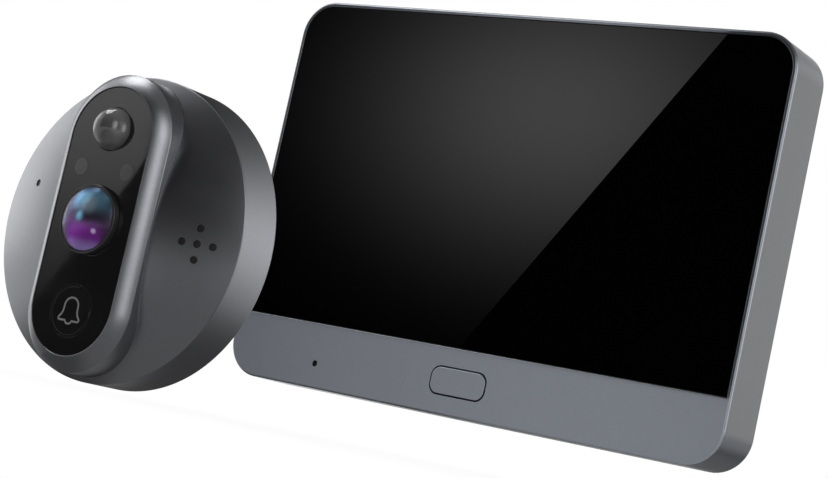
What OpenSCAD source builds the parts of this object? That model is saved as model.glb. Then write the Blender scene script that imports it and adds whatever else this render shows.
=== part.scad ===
// Peephole door camera: a round outdoor head and the indoor monitor that hangs on its door bracket.
// Millimetres, +Z up, fronts towards -Y. The origin is the centre of the bracket's screws on the door face.

/* [Head] */
// Diameter of the round head
head_d = 62; // [58:0.5:72]
// Depth of the straight side band
band_h = 10; // [9:0.5:16]
// Height of the domed front above the rim
dome_h = 7; // [5:0.25:9]
// Wall of the head shell
head_wall = 1.8; // [1.4:0.1:2.2]
// Chamfer between the dome and the side band
rim_chamfer = 0.35; // [0.1:0.05:0.8]
// Thickness of the rear base plate
base_t = 2; // [1.6:0.1:2.6]

/* [Raised panel] */
// Width of the black window
window_w = 20.4; // [19:0.2:22]
// Length of the black window
window_l = 53.5; // [50:0.5:54]
// Thickness of the black window
window_t = 1.5; // [1.2:0.1:2]
// Height of the bezel above the rim of the head
boss_h = 8.5; // [8:0.1:10]
// Width of the bezel from the window to its outer wall
bezel_w = 3.1; // [2.6:0.1:3.4]
// Radius of the rounded outer edge of the bezel
boss_round = 2.2; // [1:0.1:2.4]
// How far the window lies below the bezel
window_recess = 0.2; // [0.1:0.05:0.4]
// Width of the ledge that carries the window
ledge_w = 1; // [0.8:0.1:1.4]

/* [Head features] */
// Diameter of the front lens
lens_d = 13.8; // [12:0.2:15]
// Height of the straight edge of the lens above the window
lens_stand = 1.4; // [0.4:0.1:2]
// Height of the domed front of the lens
lens_rise = 2.2; // [1:0.1:3]
// Diameter of the motion sensor dome
pir_d = 8.6; // [7.6:0.2:9.6]
// Height of the motion sensor dome
pir_rise = 3.9; // [2:0.1:4]
// Motion sensor above the head's centre
pir_y = 18.3; // [17:0.1:18.5]
// Diameter of each infrared emitter
ir_d = 2.8; // [2.4:0.1:3.2]
// Infrared emitters either side of the centre line
ir_x = 6; // [5.6:0.1:6.6]
// Infrared emitters above the head's centre
ir_y = 10.2; // [9.8:0.1:10.8]
// Diameter of the bell button
bell_d = 9.5; // [8.5:0.1:10]
// Bell button below the head's centre
bell_y = 18; // [17:0.1:18.2]
// Travel of the bell button
bell_travel = 0.5; // [0.3:0.1:0.7]
// Diameter of each sound hole
sound_d = 1.5; // [1:0.1:1.8]
// Pitch of the speaker holes
sound_pitch = 3.05; // [2.6:0.05:3.4]
// Centre of the speaker holes, to the right
sound_x = 23; // [22:0.25:24]
// Centre of the speaker holes, above the head's centre
sound_y = -0.85; // [-2:0.05:2]
// Microphone hole, to the left
mic_x = 21.2; // [20:0.1:21.5]
// Microphone hole, above the head's centre
mic_y = 6.3; // [5:0.1:7]

/* [Door fixing] */
// Diameter of each threaded post
post_d = 4.5; // [4:0.1:5.5]
// Length of each threaded post behind the base
post_l = 14; // [10:1:24]
// Distance between the posts, and between the bracket's screw slots
post_spacing = 9; // [8.5:0.5:12]
// Diameter of the thread in a post
thread_d = 2.5; // [2:0.1:3.2]
// Depth of the thread in a post
thread_l = 11; // [6:1:20]
// Thickness of the foam gasket
gasket_t = 1; // [0.6:0.1:2]
// Opening of the foam gasket
gasket_hole_d = 24; // [20:1:36]

/* [Monitor] */
// Width of the monitor
mon_w = 123.4; // [122:0.2:140]
// Height of the monitor
mon_h = 88; // [87.5:0.5:100]
// Depth of the monitor
mon_t = 14.6; // [14.4:0.1:18]
// Radius of the monitor's corners
mon_r = 8; // [6:0.5:10]
// Side wall of the monitor
mon_wall = 1.6; // [1.3:0.1:2]
// Chamfer along the monitor's front edge
edge_chamfer = 0.4; // [0.2:0.05:0.6]
// Visible rim beside the glass
glass_side = 0.96; // [0.9:0.02:1.4]
// Visible rim above the glass
glass_top = 1; // [0.9:0.05:1.4]
// Height of the bar below the glass
bar_h = 14.4; // [13.5:0.1:15]
// Thickness of the cover glass
glass_t = 1.1; // [0.8:0.1:1.4]
// How far the glass lies below the rim
glass_recess = 0.15; // [0.05:0.05:0.3]
// Radius of the glass's upper corners
glass_r = 7; // [5:0.5:8]
// Thickness of the frame behind the glass
frame_t = 1.2; // [1:0.1:1.6]
// Thickness of the rear cover
cover_t = 1.6; // [1.3:0.1:2]

/* [Screen and inner pieces] */
// Gap between the display panel and the corner bosses
lcd_gap = 1.2; // [0.8:0.1:4]
// Black border above and below the display panel
lcd_border = 2.75; // [2.4:0.05:5]
// Thickness of the display panel
lcd_t = 2.9; // [2.4:0.1:3]
// Thickness of the circuit boards
board_t = 1.2; // [1:0.1:1.4]
// Gap round the battery
battery_gap = 2; // [1.6:0.1:4]
// Thickness of the battery
battery_t = 6; // [5:0.1:6.4]

/* [Controls] */
// Width of the home button
home_w = 13.4; // [12:0.1:16]
// Height of the home button
home_h = 5.7; // [5:0.1:6.5]
// Corner radius of the home button
home_r = 2; // [1:0.1:2.4]
// Travel of the home button
home_travel = 0.5; // [0.3:0.1:0.6]
// How far the home button stands proud
home_proud = 0.15; // [0:0.05:0.4]
// Microphone hole in the bar, left of the centre
bar_mic_x = 37.5; // [34:0.1:40]
// Travel of the power switch
power_travel = 2; // [1.5:0.1:2.5]
// Height of the power switch on the left side, above the monitor's centre
power_y = 22; // [20:0.5:25]
// Height of the card socket on the left side, above the monitor's centre
card_y = 2; // [0:0.5:4]
// Height of the charging socket on the left side, above the monitor's centre
usb_y = -16; // [-18:0.5:-14]

/* [Bracket] */
// Width of the bracket plate
plate_w = 54; // [50:0.5:56]
// Height of the bracket plate
plate_h = 46; // [44:0.5:48]
// Thickness of the bracket plate
plate_t = 1.5; // [1.2:0.1:1.6]
// Radius of the bracket plate's corners
plate_r = 4; // [2:0.5:6]
// Width of each hook
hook_w = 8; // [6:0.5:9]
// How far each hook reaches up behind the cover
hook_rise = 3; // [2:0.25:3.5]
// Lift that frees the monitor from the hooks
lift = 5; // [4.5:0.25:5.5]
// Width of the bracket's screw slots
slot_d = 3.4; // [3:0.1:3.8]
// Length of the bracket's screw slots
slot_l = 6; // [5:0.25:6.5]
// Width of the cable window
cable_w = 16; // [12:0.5:20]
// Height of the cable window
cable_h = 8; // [6:0.25:8.5]

/* [Placing] */
// Head to the left of the monitor's centre
head_x = -45.2; // [-80:0.1:-40]
// Head above the monitor's centre
head_z = -22.3; // [-30:0.1:0]
// Rim of the head in front of the monitor's face
head_gap = 62.9; // [50:0.1:90]

/* [Hidden] */
$fn = 96;

// Clearances
fit_gap = 0.05;
slip = 0.1;
run_gap = 0.15;
button_gap = 0.25;
door_gap = 0.3;
cut = 1;

// Head, measured from its rim plane towards the viewer
head_r = head_d / 2;
dome_r = (head_r * head_r + dome_h * dome_h) / (2 * dome_h);
dome_z = dome_h - dome_r;
head_in_r = head_r - head_wall;
window_hw = window_w / 2;
window_core = window_l / 2 - window_hw;
boss_hw = window_hw + bezel_w;
window_z = boss_h - window_recess;
ledge_z = window_z - window_t;
ledge_t = 1.4;
head_back = -band_h;
base_z = head_back + base_t;
chamfer_slope = tan(60);

// Stack inside the head
head_board_t = 1.4;
standoff_h = 3.4;
board_back = base_z + standoff_h;
board_z = board_back + head_board_t;
screw_boss_r = 2.3;
screw_boss_at = head_in_r - 2;
head_board_r = screw_boss_at - screw_boss_r - 0.4;
standoff_r = 2;
standoff_at = [15, 10];
screw_r = 1;
screw_head_r = 2;
screw_head_h = 1;

// Lens and sensors
lens_r = lens_d / 2;
lens_sphere_r = (lens_r * lens_r + lens_rise * lens_rise) / (2 * lens_rise);
barrel_wall = 1.8;
barrel_r = lens_r + 0.5;
barrel_z = ledge_z - 0.2;
sensor_board_t = 1;
pir_r = pir_d / 2;
pir_sphere_r = (pir_r * pir_r + pir_rise * pir_rise) / (2 * pir_rise);
pir_wall = 0.6;
pir_flange = 0.7;
pir_flange_t = 0.8;
pir_can_r = pir_r - 0.3;
pir_can_h = 6.2;
ir_r = ir_d / 2;
ir_spacer_r = ir_r + 0.5;
ir_spacer_h = 6.4;
sensor_board_w = 2 * (ir_y - ir_spacer_r - button_gap);

// Bell button
bell_r = bell_d / 2;
ring_in_r = bell_r + run_gap;
ring_t = 0.3;
ring_r = ring_in_r + ring_t;
ring_flange = 0.8;
ring_flange_t = 0.6;
ring_foot = ledge_z - ring_flange_t;
bell_flange_r = ring_in_r + 0.6;
bell_flange_t = 0.8;
bell_flange_z = ring_foot - slip;
stem_r = 1.6;
switch_w = 6;
plunger_r = 1.7;
bell_switch_h = 3.5;
plunger_rise = 1.2;
plunger_l = 2.4;
bell_plunger_z = board_z + bell_switch_h + plunger_rise;

// Small electrics of the head
head_speaker_r = 6.2;
head_speaker_t = 2.8;
head_speaker_x = sound_x - 3.4;
capsule_r = 2;
capsule_t = 2;
socket_w = 10;
socket_h = 4.5;
socket_t = 2.6;
outlet_w = 9;
outlet_h = 2.2;
outlet_y = post_d / 2 + 0.6 + outlet_h / 2;
rivet_r = 1.7;
rivet_head_r = 2.2;
rivet_head_t = 0.6;
gasket_r = head_r - 2;

// Monitor, measured from the door towards the viewer
mon_back = door_gap;
mon_front = mon_back + mon_t;
glass_z = mon_front - glass_recess;
frame_z = glass_z - glass_t;
frame_in = frame_z - frame_t;
glass_w = mon_w - 2 * glass_side;
glass_h = mon_h - glass_top - bar_h;
glass_y = mon_h / 2 - glass_top - glass_h / 2;
inner_w = mon_w - 2 * mon_wall;
inner_h = mon_h - 2 * mon_wall;
inner_r = mon_r - mon_wall;
lcd_z = frame_z - lcd_t;
mon_boss_r = 2.6;
mon_boss_x = inner_w / 2 - mon_boss_r - 1;
mon_boss_y = inner_h / 2 - mon_boss_r - 1.8;
pilot_r = 0.8;
pilot_l = 6;
lcd_w = 2 * (mon_boss_x - mon_boss_r - lcd_gap);
lcd_h = glass_h - 2 * lcd_border;

// Bracket and rear cover
pan_z = plate_t + door_gap;
pan_in = pan_z + cover_t;
pan_side = 2;
pan_hw = plate_w / 2 + pan_side + cover_t;
neck_t = 1.5;
tip_gap = 0.4;
tip_z = pan_in + tip_gap;
hook_z = tip_z + plate_t;
hook_inset = [7, 9];
hook_x = plate_w / 2 - hook_inset[0];
hook_y = plate_h / 2 - hook_inset[1];
punch_h = hook_rise + neck_t + 1;
cable_y = -slot_d / 2 - 2.6 - cable_h / 2;
bay_gap = 2;

// Stack inside the monitor
main_z = lcd_z - 2;
main_back = main_z - board_t;
main_left = -inner_w / 2 + 2;
battery_edge = 1.4;
battery_tab = 1.5;
battery_w = inner_w / 2 - battery_edge - pan_hw - battery_gap;
battery_h = 2 * (mon_boss_y - mon_boss_r - battery_tab - battery_gap);
main_right = inner_w / 2 - battery_w - 4;
main_top = inner_h / 2 - 2;
battery_x = inner_w / 2 - battery_w / 2 - battery_edge;
battery_z = mon_back + cover_t;
bar_y = -mon_h / 2 + bar_h / 2;
home_z = mon_front + home_proud;
home_flange = 1;
home_flange_t = 0.7;
home_flange_z = frame_in - slip;
home_switch_h = 1.4;
home_plunger_l = 1;
home_plunger_z = main_z + home_switch_h + 0.5;
bar_mic_y = bar_y - 1.7;
bar_mic_t = 1.5;
box_speaker_left = mon_boss_x - mon_boss_r - 1.9;
box_speaker = [box_speaker_left - pan_hw - 1.4, 13];
box_speaker_rim = 3;
box_speaker_round = 2;
box_speaker_at = [box_speaker[0] / 2 - box_speaker_left, box_speaker[1] / 2 - inner_h / 2 + 3.9];
box_speaker_t = main_back - battery_z - 0.4;
pillar_left = 2.5 - pan_hw;
pillar_right = main_right - 3 * standoff_r;
pillar_y = main_top - 3;
grille_slot = [1.2, 9];
grille_count = 5;
grille_pitch = (box_speaker[0] - 2 * box_speaker_rim - grille_slot[0]) / (grille_count - 1);

// Sockets and switch on the left side wall
wall_in = -inner_w / 2;
wall_out = -mon_w / 2;
usb_w = 9;
usb_t = 3.2;
usb_l = 7;
usb_lip = 0.3;
usb_tongue_w = usb_w - 2.4;
usb_tongue_t = 0.7;
usb_tongue_l = usb_l - 1;
card_w = 13;
card_t = 1.5;
card_l = 11;
card_slot_t = 1;
knob_w = 3;
knob_t = 1.4;
knob_proud = 0.9;
knob_room = 0.3;
switch_wall = 0.4;
power_room = [knob_w + power_travel + 2 * knob_room, knob_t + 2 * knob_room];
power_body = [4, power_room[0] + 2 * switch_wall, power_room[1] + 2 * switch_wall];

PAINT = "#74787f";
DARK = "#1b1c1f";
GLASS = "#08090b";
BOARD = "#1f5a3a";
STEEL = "#b9bcc0";
BRASS = "#c9a550";
PLASTIC = "#303236";

// Draws in the front view: x to the right, y up, z towards the viewer
module view() {
    rotate([90, 0, 0]) children();
}

module on_head() {
    view() translate([head_x, head_z, mon_front + head_gap]) children();
}

module disc(r, low, high) {
    translate([0, 0, low]) cylinder(r = r, h = high - low);
}

module plate(low, high) {
    translate([0, 0, low]) linear_extrude(high - low) children();
}

module block(w, h, low, high) {
    plate(low, high) square([w, h], center = true);
}

module rounded(w, h, r) {
    square([w - 2 * r, h], center = true);
    square([w, h - 2 * r], center = true);
    corners(w / 2 - r, h / 2 - r) circle(r);
}

module corners(x, y) {
    for (sx = [-1, 1], sy = [-1, 1])
        translate([sx * x, sy * y]) children();
}

// A flat shape with round ends, standing upright
module pill(hw, core) {
    square([2 * hw, 2 * core], center = true);
    for (s = [-1, 1])
        translate([0, s * core]) circle(hw);
}

module lying_slot(w, l) {
    rotate(90) pill(w / 2, (l - w) / 2);
}

// A cap of a sphere that stands on the plane at low
module dome_cap(r, sphere_r, low) {
    rise = sphere_r - sqrt(sphere_r * sphere_r - r * r);
    intersection() {
        translate([0, 0, low + rise - sphere_r]) sphere(sphere_r);
        disc(r, low, low + rise);
    }
}

// Head shell: side band, domed front and raised panel
module bezel_section() {
    difference() {
        square([boss_hw, boss_h]);
        translate([boss_hw - boss_round, boss_h - boss_round]) difference() {
            square(boss_round + cut);
            circle(boss_round);
        }
    }
}

module raised_panel() {
    for (s = [-1, 1])
        translate([0, s * window_core, 0]) rotate_extrude() bezel_section();
    rotate([90, 0, 0]) linear_extrude(2 * window_core, center = true) {
        bezel_section();
        mirror([1, 0]) bezel_section();
    }
}

module dome_body() {
    chamfer_top = dome_h + cut;
    intersection() {
        translate([0, 0, dome_z]) sphere(dome_r);
        disc(head_r, head_back, chamfer_top);
        translate([0, 0, head_back]) cylinder(
            r1 = head_r + (band_h - rim_chamfer) / chamfer_slope,
            r2 = head_r - (chamfer_top + rim_chamfer) / chamfer_slope,
            h = chamfer_top - head_back
        );
    }
}

module dome_inside() {
    intersection() {
        translate([0, 0, dome_z]) sphere(dome_r - head_wall);
        disc(head_in_r, head_back - cut, dome_h);
    }
}

module head_screw_places() {
    for (a = [45 : 90 : 315])
        rotate(a) translate([screw_boss_at, 0, 0]) children();
}

module speaker_holes() {
    translate([sound_x, sound_y, 0]) for (p = [[0, 0], [1, 0], [-1, 0], [0, 1], [0, -1]])
        translate(sound_pitch * p) disc(sound_d / 2, head_back, boss_h);
}

module head_shell() color(PAINT) on_head() difference() {
    union() {
        difference() {
            union() {
                dome_body();
                raised_panel();
            }
            dome_inside();
            plate(head_back, ledge_z - ledge_t) pill(boss_hw - head_wall, window_core);
        }
        intersection() {
            dome_body();
            head_screw_places() disc(screw_boss_r, base_z, dome_h);
        }
    }
    plate(ledge_z, boss_h + cut) pill(window_hw + slip, window_core);
    plate(0, boss_h) pill(window_hw - ledge_w, window_core);
    speaker_holes();
    translate([-mic_x, mic_y, 0]) disc(sound_d / 2, head_back, boss_h);
    head_screw_places() disc(pilot_r, base_z - cut, base_z + pilot_l);
}

// Black window with openings for the lens, the sensors and the bell button
module head_window() color(GLASS) on_head() difference() {
    plate(ledge_z, window_z) pill(window_hw, window_core);
    disc(lens_r + slip, ledge_z - cut, boss_h);
    translate([0, pir_y, 0]) disc(pir_r + slip, ledge_z - cut, boss_h);
    translate([0, -bell_y, 0]) disc(ring_r + slip, ledge_z - cut, boss_h);
    ir_places() disc(ir_r + slip, ledge_z - cut, boss_h);
}

module ir_places() {
    for (s = [-1, 1])
        translate([s * ir_x, ir_y, 0]) children();
}

module camera_lens() color("#243a5c") on_head() union() {
    lens_edge = window_z + lens_stand;
    disc(lens_r, barrel_z, lens_edge);
    dome_cap(lens_r, lens_sphere_r, lens_edge);
}

module lens_barrel() color(DARK) on_head() difference() {
    disc(barrel_r, board_z + sensor_board_t, barrel_z);
    disc(barrel_r - barrel_wall, board_z + sensor_board_t + 1.5, boss_h);
    disc(2.2, board_z, boss_h);
}

module sensor_board() color(BOARD) on_head() {
    block(sensor_board_w, sensor_board_w, board_z, board_z + sensor_board_t);
}

module pir_lens() color("#3a3c40") on_head() translate([0, pir_y, 0]) difference() {
    union() {
        disc(pir_r + pir_flange, ledge_z - pir_flange_t, ledge_z);
        disc(pir_r, ledge_z, window_z);
        dome_cap(pir_r, pir_sphere_r, window_z);
    }
    disc(pir_r - pir_wall, ledge_z - pir_flange_t - cut, window_z);
    translate([0, 0, window_z + pir_rise - pir_sphere_r]) intersection() {
        sphere(pir_sphere_r - pir_wall);
        disc(pir_r - pir_wall, pir_sphere_r - pir_rise - cut, pir_sphere_r);
    }
}

module pir_sensor() color(STEEL) on_head() translate([0, pir_y, board_z]) difference() {
    disc(pir_can_r, 0, pir_can_h);
    block(4, 3, pir_can_h - 0.4, pir_can_h + cut);
}

module ir_leds() color("#4b4650") on_head() ir_places() {
    disc(ir_spacer_r, board_z, board_z + ir_spacer_h);
    disc(ir_r, board_z + ir_spacer_h, window_z);
}

// Bell button with its light ring and switch
module bell_button() color(DARK) on_head() translate([0, -bell_y, 0]) {
    disc(bell_r, bell_flange_z, window_z);
    disc(bell_flange_r, bell_flange_z - bell_flange_t, bell_flange_z);
    disc(stem_r, bell_plunger_z, bell_flange_z - bell_flange_t);
}

module bell_ring() color("#5b6068") on_head() translate([0, -bell_y, 0]) difference() {
    union() {
        disc(ring_r, ledge_z, window_z);
        disc(ring_r + ring_flange, ring_foot, ledge_z);
    }
    disc(ring_in_r, ring_foot - cut, boss_h);
}

module tact_body(low, height, depth) {
    difference() {
        block(switch_w, switch_w, low, low + height);
        disc(plunger_r + button_gap, low + height - depth, low + height + cut);
    }
}

module bell_switch() color(PLASTIC) on_head() translate([0, -bell_y, 0]) {
    tact_body(board_z, bell_switch_h, plunger_l - plunger_rise + bell_travel + 0.3);
}

module bell_plunger() color(DARK) on_head() translate([0, -bell_y, 0]) {
    disc(plunger_r, bell_plunger_z - plunger_l, bell_plunger_z);
}

// Inside and back of the head
module head_board() color(BOARD) on_head() {
    disc(head_board_r, board_back, board_z);
}

module head_speaker() color(DARK) on_head() translate([head_speaker_x, sound_y, board_z]) union() {
    disc(head_speaker_r, 0, head_speaker_t - 0.6);
    disc(head_speaker_r - 0.8, 0, head_speaker_t);
}

module head_microphone() color(STEEL) on_head() translate([-mic_x, mic_y, board_z]) difference() {
    disc(capsule_r, 0, capsule_t);
    disc(0.5, capsule_t - 0.6, capsule_t + cut);
}

module head_socket() color("#d8d4c8") on_head() translate([0, outlet_y, 0]) difference() {
    block(socket_w, socket_h, board_back - socket_t, board_back);
    block(socket_w - 2, 1.2, board_back - socket_t - cut, board_back - socket_t + 2);
}

module post_places() {
    for (s = [-1, 1])
        translate([s * post_spacing / 2, 0, 0]) children();
}

module head_base() color(PLASTIC) on_head() difference() {
    union() {
        disc(head_in_r - slip, head_back, base_z);
        corners(standoff_at[0], standoff_at[1]) disc(standoff_r, base_z, board_back);
    }
    post_places() disc(rivet_r + fit_gap, head_back - cut, base_z + cut);
    translate([0, outlet_y, 0]) plate(head_back - cut, base_z + cut) lying_slot(outlet_h, outlet_w);
    head_screw_places() disc(screw_r + slip, head_back - cut, base_z + cut);
    head_screw_places() disc(screw_head_r + slip, head_back - cut, head_back + screw_head_h);
}

module door_posts() color(BRASS) on_head() post_places() difference() {
    union() {
        disc(post_d / 2, head_back - post_l, head_back);
        disc(rivet_r, head_back, base_z);
        disc(rivet_head_r, base_z, base_z + rivet_head_t);
    }
    disc(thread_d / 2, head_back - post_l - cut, head_back - post_l + thread_l);
}

module head_screws() color(STEEL) on_head() head_screw_places() union() {
    disc(screw_head_r, head_back, head_back + screw_head_h);
    disc(screw_r, head_back + screw_head_h, base_z);
    disc(pilot_r - fit_gap, base_z, base_z + pilot_l - 1);
}

module head_gasket() color("#2a2a2a") on_head() difference() {
    disc(gasket_r, head_back - gasket_t, head_back);
    disc(gasket_hole_d / 2, head_back - gasket_t - cut, head_back + cut);
}

// Monitor frame: rim, bottom bar and side walls in one piece
module slab(w, h, r, low, high, chamfer) {
    function section(half) = [
        [-half, low], [half, low], [half, high - chamfer],
        [half - chamfer, high], [chamfer - half, high], [-half, high - chamfer]
    ];
    rotate([90, 0, 90]) linear_extrude(w - 2 * r, center = true) polygon(section(h / 2));
    rotate([90, 0, 0]) linear_extrude(h - 2 * r, center = true) polygon(section(w / 2));
    corners(w / 2 - r, h / 2 - r) rotate_extrude()
        polygon([[0, low], [r, low], [r, high - chamfer], [r - chamfer, high], [0, high]]);
}

// Round corners above, square corners against the bar
module glass_outline(grow) {
    w = glass_w + 2 * grow;
    h = glass_h + 2 * grow;
    translate([0, glass_y]) {
        rounded(w, h, glass_r + grow);
        translate([0, -h / 4]) square([w, h / 2], center = true);
    }
}

module display_place() {
    translate([0, glass_y, 0]) children();
}

module home_place() {
    translate([0, bar_y, 0]) children();
}

module monitor_frame() color(PAINT) view() difference() {
    union() {
        difference() {
            slab(mon_w, mon_h, mon_r, mon_back, mon_front, edge_chamfer);
            plate(mon_back - cut, frame_in) rounded(inner_w, inner_h, inner_r);
        }
        corners(mon_boss_x, mon_boss_y) disc(mon_boss_r, mon_back + cover_t, frame_in + slip);
    }
    plate(frame_z, mon_front + cut) glass_outline(0);
    display_place() block(lcd_w + 2 * slip, lcd_h + 2 * slip, frame_in - cut, mon_front);
    home_place() plate(frame_in - cut, mon_front + cut)
        rounded(home_w + 2 * button_gap, home_h + 2 * button_gap, home_r + button_gap);
    translate([-bar_mic_x, bar_mic_y, 0]) disc(0.65, frame_in - cut, mon_front + cut);
    corners(mon_boss_x, mon_boss_y) disc(pilot_r, mon_back, mon_back + cover_t + pilot_l);
    translate([wall_in, usb_y, main_z + usb_t / 2]) side_cut(usb_w + 2 * slip, usb_t + 2 * slip);
    translate([wall_in, card_y, main_z + card_t / 2]) side_cut(card_w + 2 * slip, card_slot_t + 2 * slip);
    translate([wall_in, power_y, main_z + power_body[2] / 2])
        side_cut(knob_w + power_travel + 2 * button_gap, knob_t + 2 * button_gap);
}

// A straight cut through the left side wall
module side_cut(h, t) {
    translate([-mon_wall - cut, -h / 2, -t / 2]) cube([mon_wall + 2 * cut, h, t]);
}

module screen_glass() color(GLASS) view() {
    plate(frame_z, glass_z) glass_outline(-slip);
}

module display_panel() color("#16171a") view() display_place() union() {
    block(lcd_w, lcd_h, lcd_z + 0.4, frame_z);
    block(lcd_w - 4, lcd_h - 4, lcd_z, lcd_z + 0.4);
}

// Home button with its switch
module home_button() color(PAINT) view() home_place() {
    plate(home_flange_z, home_z) rounded(home_w, home_h, home_r);
    plate(home_flange_z - home_flange_t, home_flange_z)
        rounded(home_w + 2 * home_flange, home_h + 2 * home_flange, home_r);
    disc(stem_r, home_plunger_z, home_flange_z - home_flange_t);
}

module home_switch() color(PLASTIC) view() home_place() {
    tact_body(main_z, home_switch_h, home_switch_h - 0.2);
}

module home_plunger() color(DARK) view() home_place() {
    disc(plunger_r, home_plunger_z - home_plunger_l, home_plunger_z);
}

// Inside of the monitor
module main_board() color(BOARD) view() difference() {
    w = main_right - main_left;
    translate([main_left + w / 2, 0, 0]) block(w, 2 * main_top, main_back, main_z);
    corners(mon_boss_x, mon_boss_y) disc(mon_boss_r + 0.6, main_back - cut, main_z + cut);
}

module battery_pack() color("#3d4a63") view() translate([battery_x, 0, 0]) union() {
    plate(battery_z, battery_z + battery_t) rounded(battery_w, battery_h, 1.5);
    translate([0, battery_h / 2, battery_z])
        block(battery_w - 4 * battery_tab, 2 * battery_tab, 1, battery_t - 1);
}

module monitor_speaker() color(DARK) view()
    translate([box_speaker_at[0], box_speaker_at[1], battery_z]) difference() {
        plate(0, box_speaker_t) rounded(box_speaker[0], box_speaker[1], box_speaker_round);
        plate(-cut, 0.6) rounded(
            box_speaker[0] - 2 * box_speaker_rim, box_speaker[1] - 2 * box_speaker_round, box_speaker_round
        );
    }

module monitor_microphone() color(STEEL) view() translate([-bar_mic_x, bar_mic_y, 0]) difference() {
    disc(capsule_r, frame_in - bar_mic_t, frame_in);
    disc(0.5, frame_in - 0.6, frame_in + cut);
}

module usb_socket() color(STEEL) view() translate([wall_out + usb_lip, usb_y, main_z]) union() {
    difference() {
        translate([0, -usb_w / 2, 0]) cube([usb_l, usb_w, usb_t]);
        translate([-cut, 0, usb_t / 2]) rotate([90, 0, 90]) linear_extrude(usb_l)
            rounded(usb_w - 0.6, usb_t - 0.7, 1.2);
    }
    translate([usb_l - usb_tongue_l, -usb_tongue_w / 2, (usb_t - usb_tongue_t) / 2])
        cube([usb_tongue_l, usb_tongue_w, usb_tongue_t]);
}

module card_socket() color(STEEL) view() translate([wall_in, card_y, main_z]) difference() {
    translate([0, -card_w / 2, 0]) cube([card_l, card_w, card_t]);
    translate([-cut, 0.4 - card_w / 2, (card_t - card_slot_t) / 2])
        cube([card_l, card_w - 0.8, card_slot_t]);
}

module power_switch() color(STEEL) view() translate([wall_in + 0.4, power_y, main_z]) difference() {
    translate([0, -power_body[1] / 2, 0]) cube(power_body);
    translate([-cut, -power_room[0] / 2, switch_wall])
        cube([power_body[0], power_room[0], power_room[1]]);
}

module power_knob() color(DARK) view() {
    reach = mon_wall + knob_proud + power_body[0] - 1.2;
    low = power_y - (power_travel + knob_w) / 2;
    translate([wall_out - knob_proud, low, main_z + (power_body[2] - knob_t) / 2])
        cube([reach, knob_w, knob_t]);
}

module cable_socket() color("#d8d4c8") view() translate([0, cable_y, 0]) difference() {
    block(socket_w, socket_h, main_back - socket_t, main_back);
    block(socket_w - 2, 1.2, main_back - socket_t - cut, main_back - socket_t + 2);
}

// Rear cover with a pan for the bracket, slots for its hooks and a bay for the cable
module pan(grow, low, high) {
    translate([0, -lift / 2, 0]) block(
        plate_w + 2 * pan_side + 2 * grow, plate_h + 2 * pan_side + lift + 2 * grow, low, high
    );
}

module hook_places() {
    corners(hook_x, hook_y) children();
}

module hook_slot() {
    w = hook_w + 2 * button_gap;
    h = neck_t + lift + button_gap;
    plate(mon_back, pan_in + cut) translate([-w / 2, neck_t - h]) square([w, h]);
}

// Pillars that carry the main board, outside the pan
module pillar_places() {
    for (x = [pillar_left, pillar_right], y = [-pillar_y, pillar_y])
        translate([x, y, 0]) children();
}

module rear_cover() color(PLASTIC) view() difference() {
    union() {
        plate(mon_back, mon_back + cover_t) rounded(inner_w - 2 * slip, inner_h - 2 * slip, inner_r - slip);
        pan(cover_t, mon_back, pan_in);
        pillar_places() disc(standoff_r, mon_back + cover_t, main_back);
    }
    pan(0, mon_back - cut, pan_z);
    hook_places() hook_slot();
    translate([0, cable_y - lift / 2, 0])
        block(cable_w + 2 * bay_gap, cable_h + lift + 2 * bay_gap, mon_back, pan_in + cut);
    translate([box_speaker_at[0], box_speaker_at[1], 0]) for (i = [0 : grille_count - 1])
        translate([(i - (grille_count - 1) / 2) * grille_pitch, 0, 0])
            plate(mon_back - cut, mon_back + cover_t + cut)
                pill(grille_slot[0] / 2, (grille_slot[1] - grille_slot[0]) / 2);
    corners(mon_boss_x, mon_boss_y) {
        disc(screw_r + slip, mon_back - cut, mon_back + cover_t + cut);
        disc(screw_head_r + slip, mon_back - cut, mon_back + screw_head_h);
    }
}

module rear_screws() color(STEEL) view() corners(mon_boss_x, mon_boss_y) union() {
    disc(screw_head_r, mon_back, mon_back + screw_head_h);
    disc(screw_r, mon_back + screw_head_h, mon_back + cover_t);
    disc(pilot_r - fit_gap, mon_back + cover_t, mon_back + cover_t + pilot_l - 1);
}

// Door bracket: a punched steel plate with four upturned hooks
module hook() {
    block_h = hook_rise + neck_t;
    translate([-hook_w / 2, 0, 0]) {
        translate([0, 0, plate_t]) cube([hook_w, neck_t, hook_z - plate_t]);
        translate([0, 0, tip_z]) cube([hook_w, block_h, plate_t]);
    }
}

module hook_bracket() color(STEEL) view() union() {
    difference() {
        plate(0, plate_t) rounded(plate_w, plate_h, plate_r);
        post_places() plate(-cut, plate_t + cut) lying_slot(slot_d, slot_l);
        translate([0, cable_y, 0]) plate(-cut, plate_t + cut) rounded(cable_w, cable_h, 1.5);
        hook_places() translate([-hook_w / 2, neck_t, -cut]) cube([hook_w, punch_h, plate_t + 2 * cut]);
    }
    hook_places() hook();
}

head_shell();
head_window();
camera_lens();
lens_barrel();
sensor_board();
pir_lens();
pir_sensor();
ir_leds();
bell_button();
bell_plunger();
bell_ring();
bell_switch();
head_board();
head_speaker();
head_microphone();
head_socket();
head_base();
door_posts();
head_screws();
head_gasket();
monitor_frame();
screen_glass();
display_panel();
home_button();
home_plunger();
home_switch();
main_board();
battery_pack();
monitor_speaker();
monitor_microphone();
usb_socket();
card_socket();
power_knob();
power_switch();
cable_socket();
rear_cover();
rear_screws();
hook_bracket();
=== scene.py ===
import math

import bmesh
import bpy
from mathutils import Matrix, Vector


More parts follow.
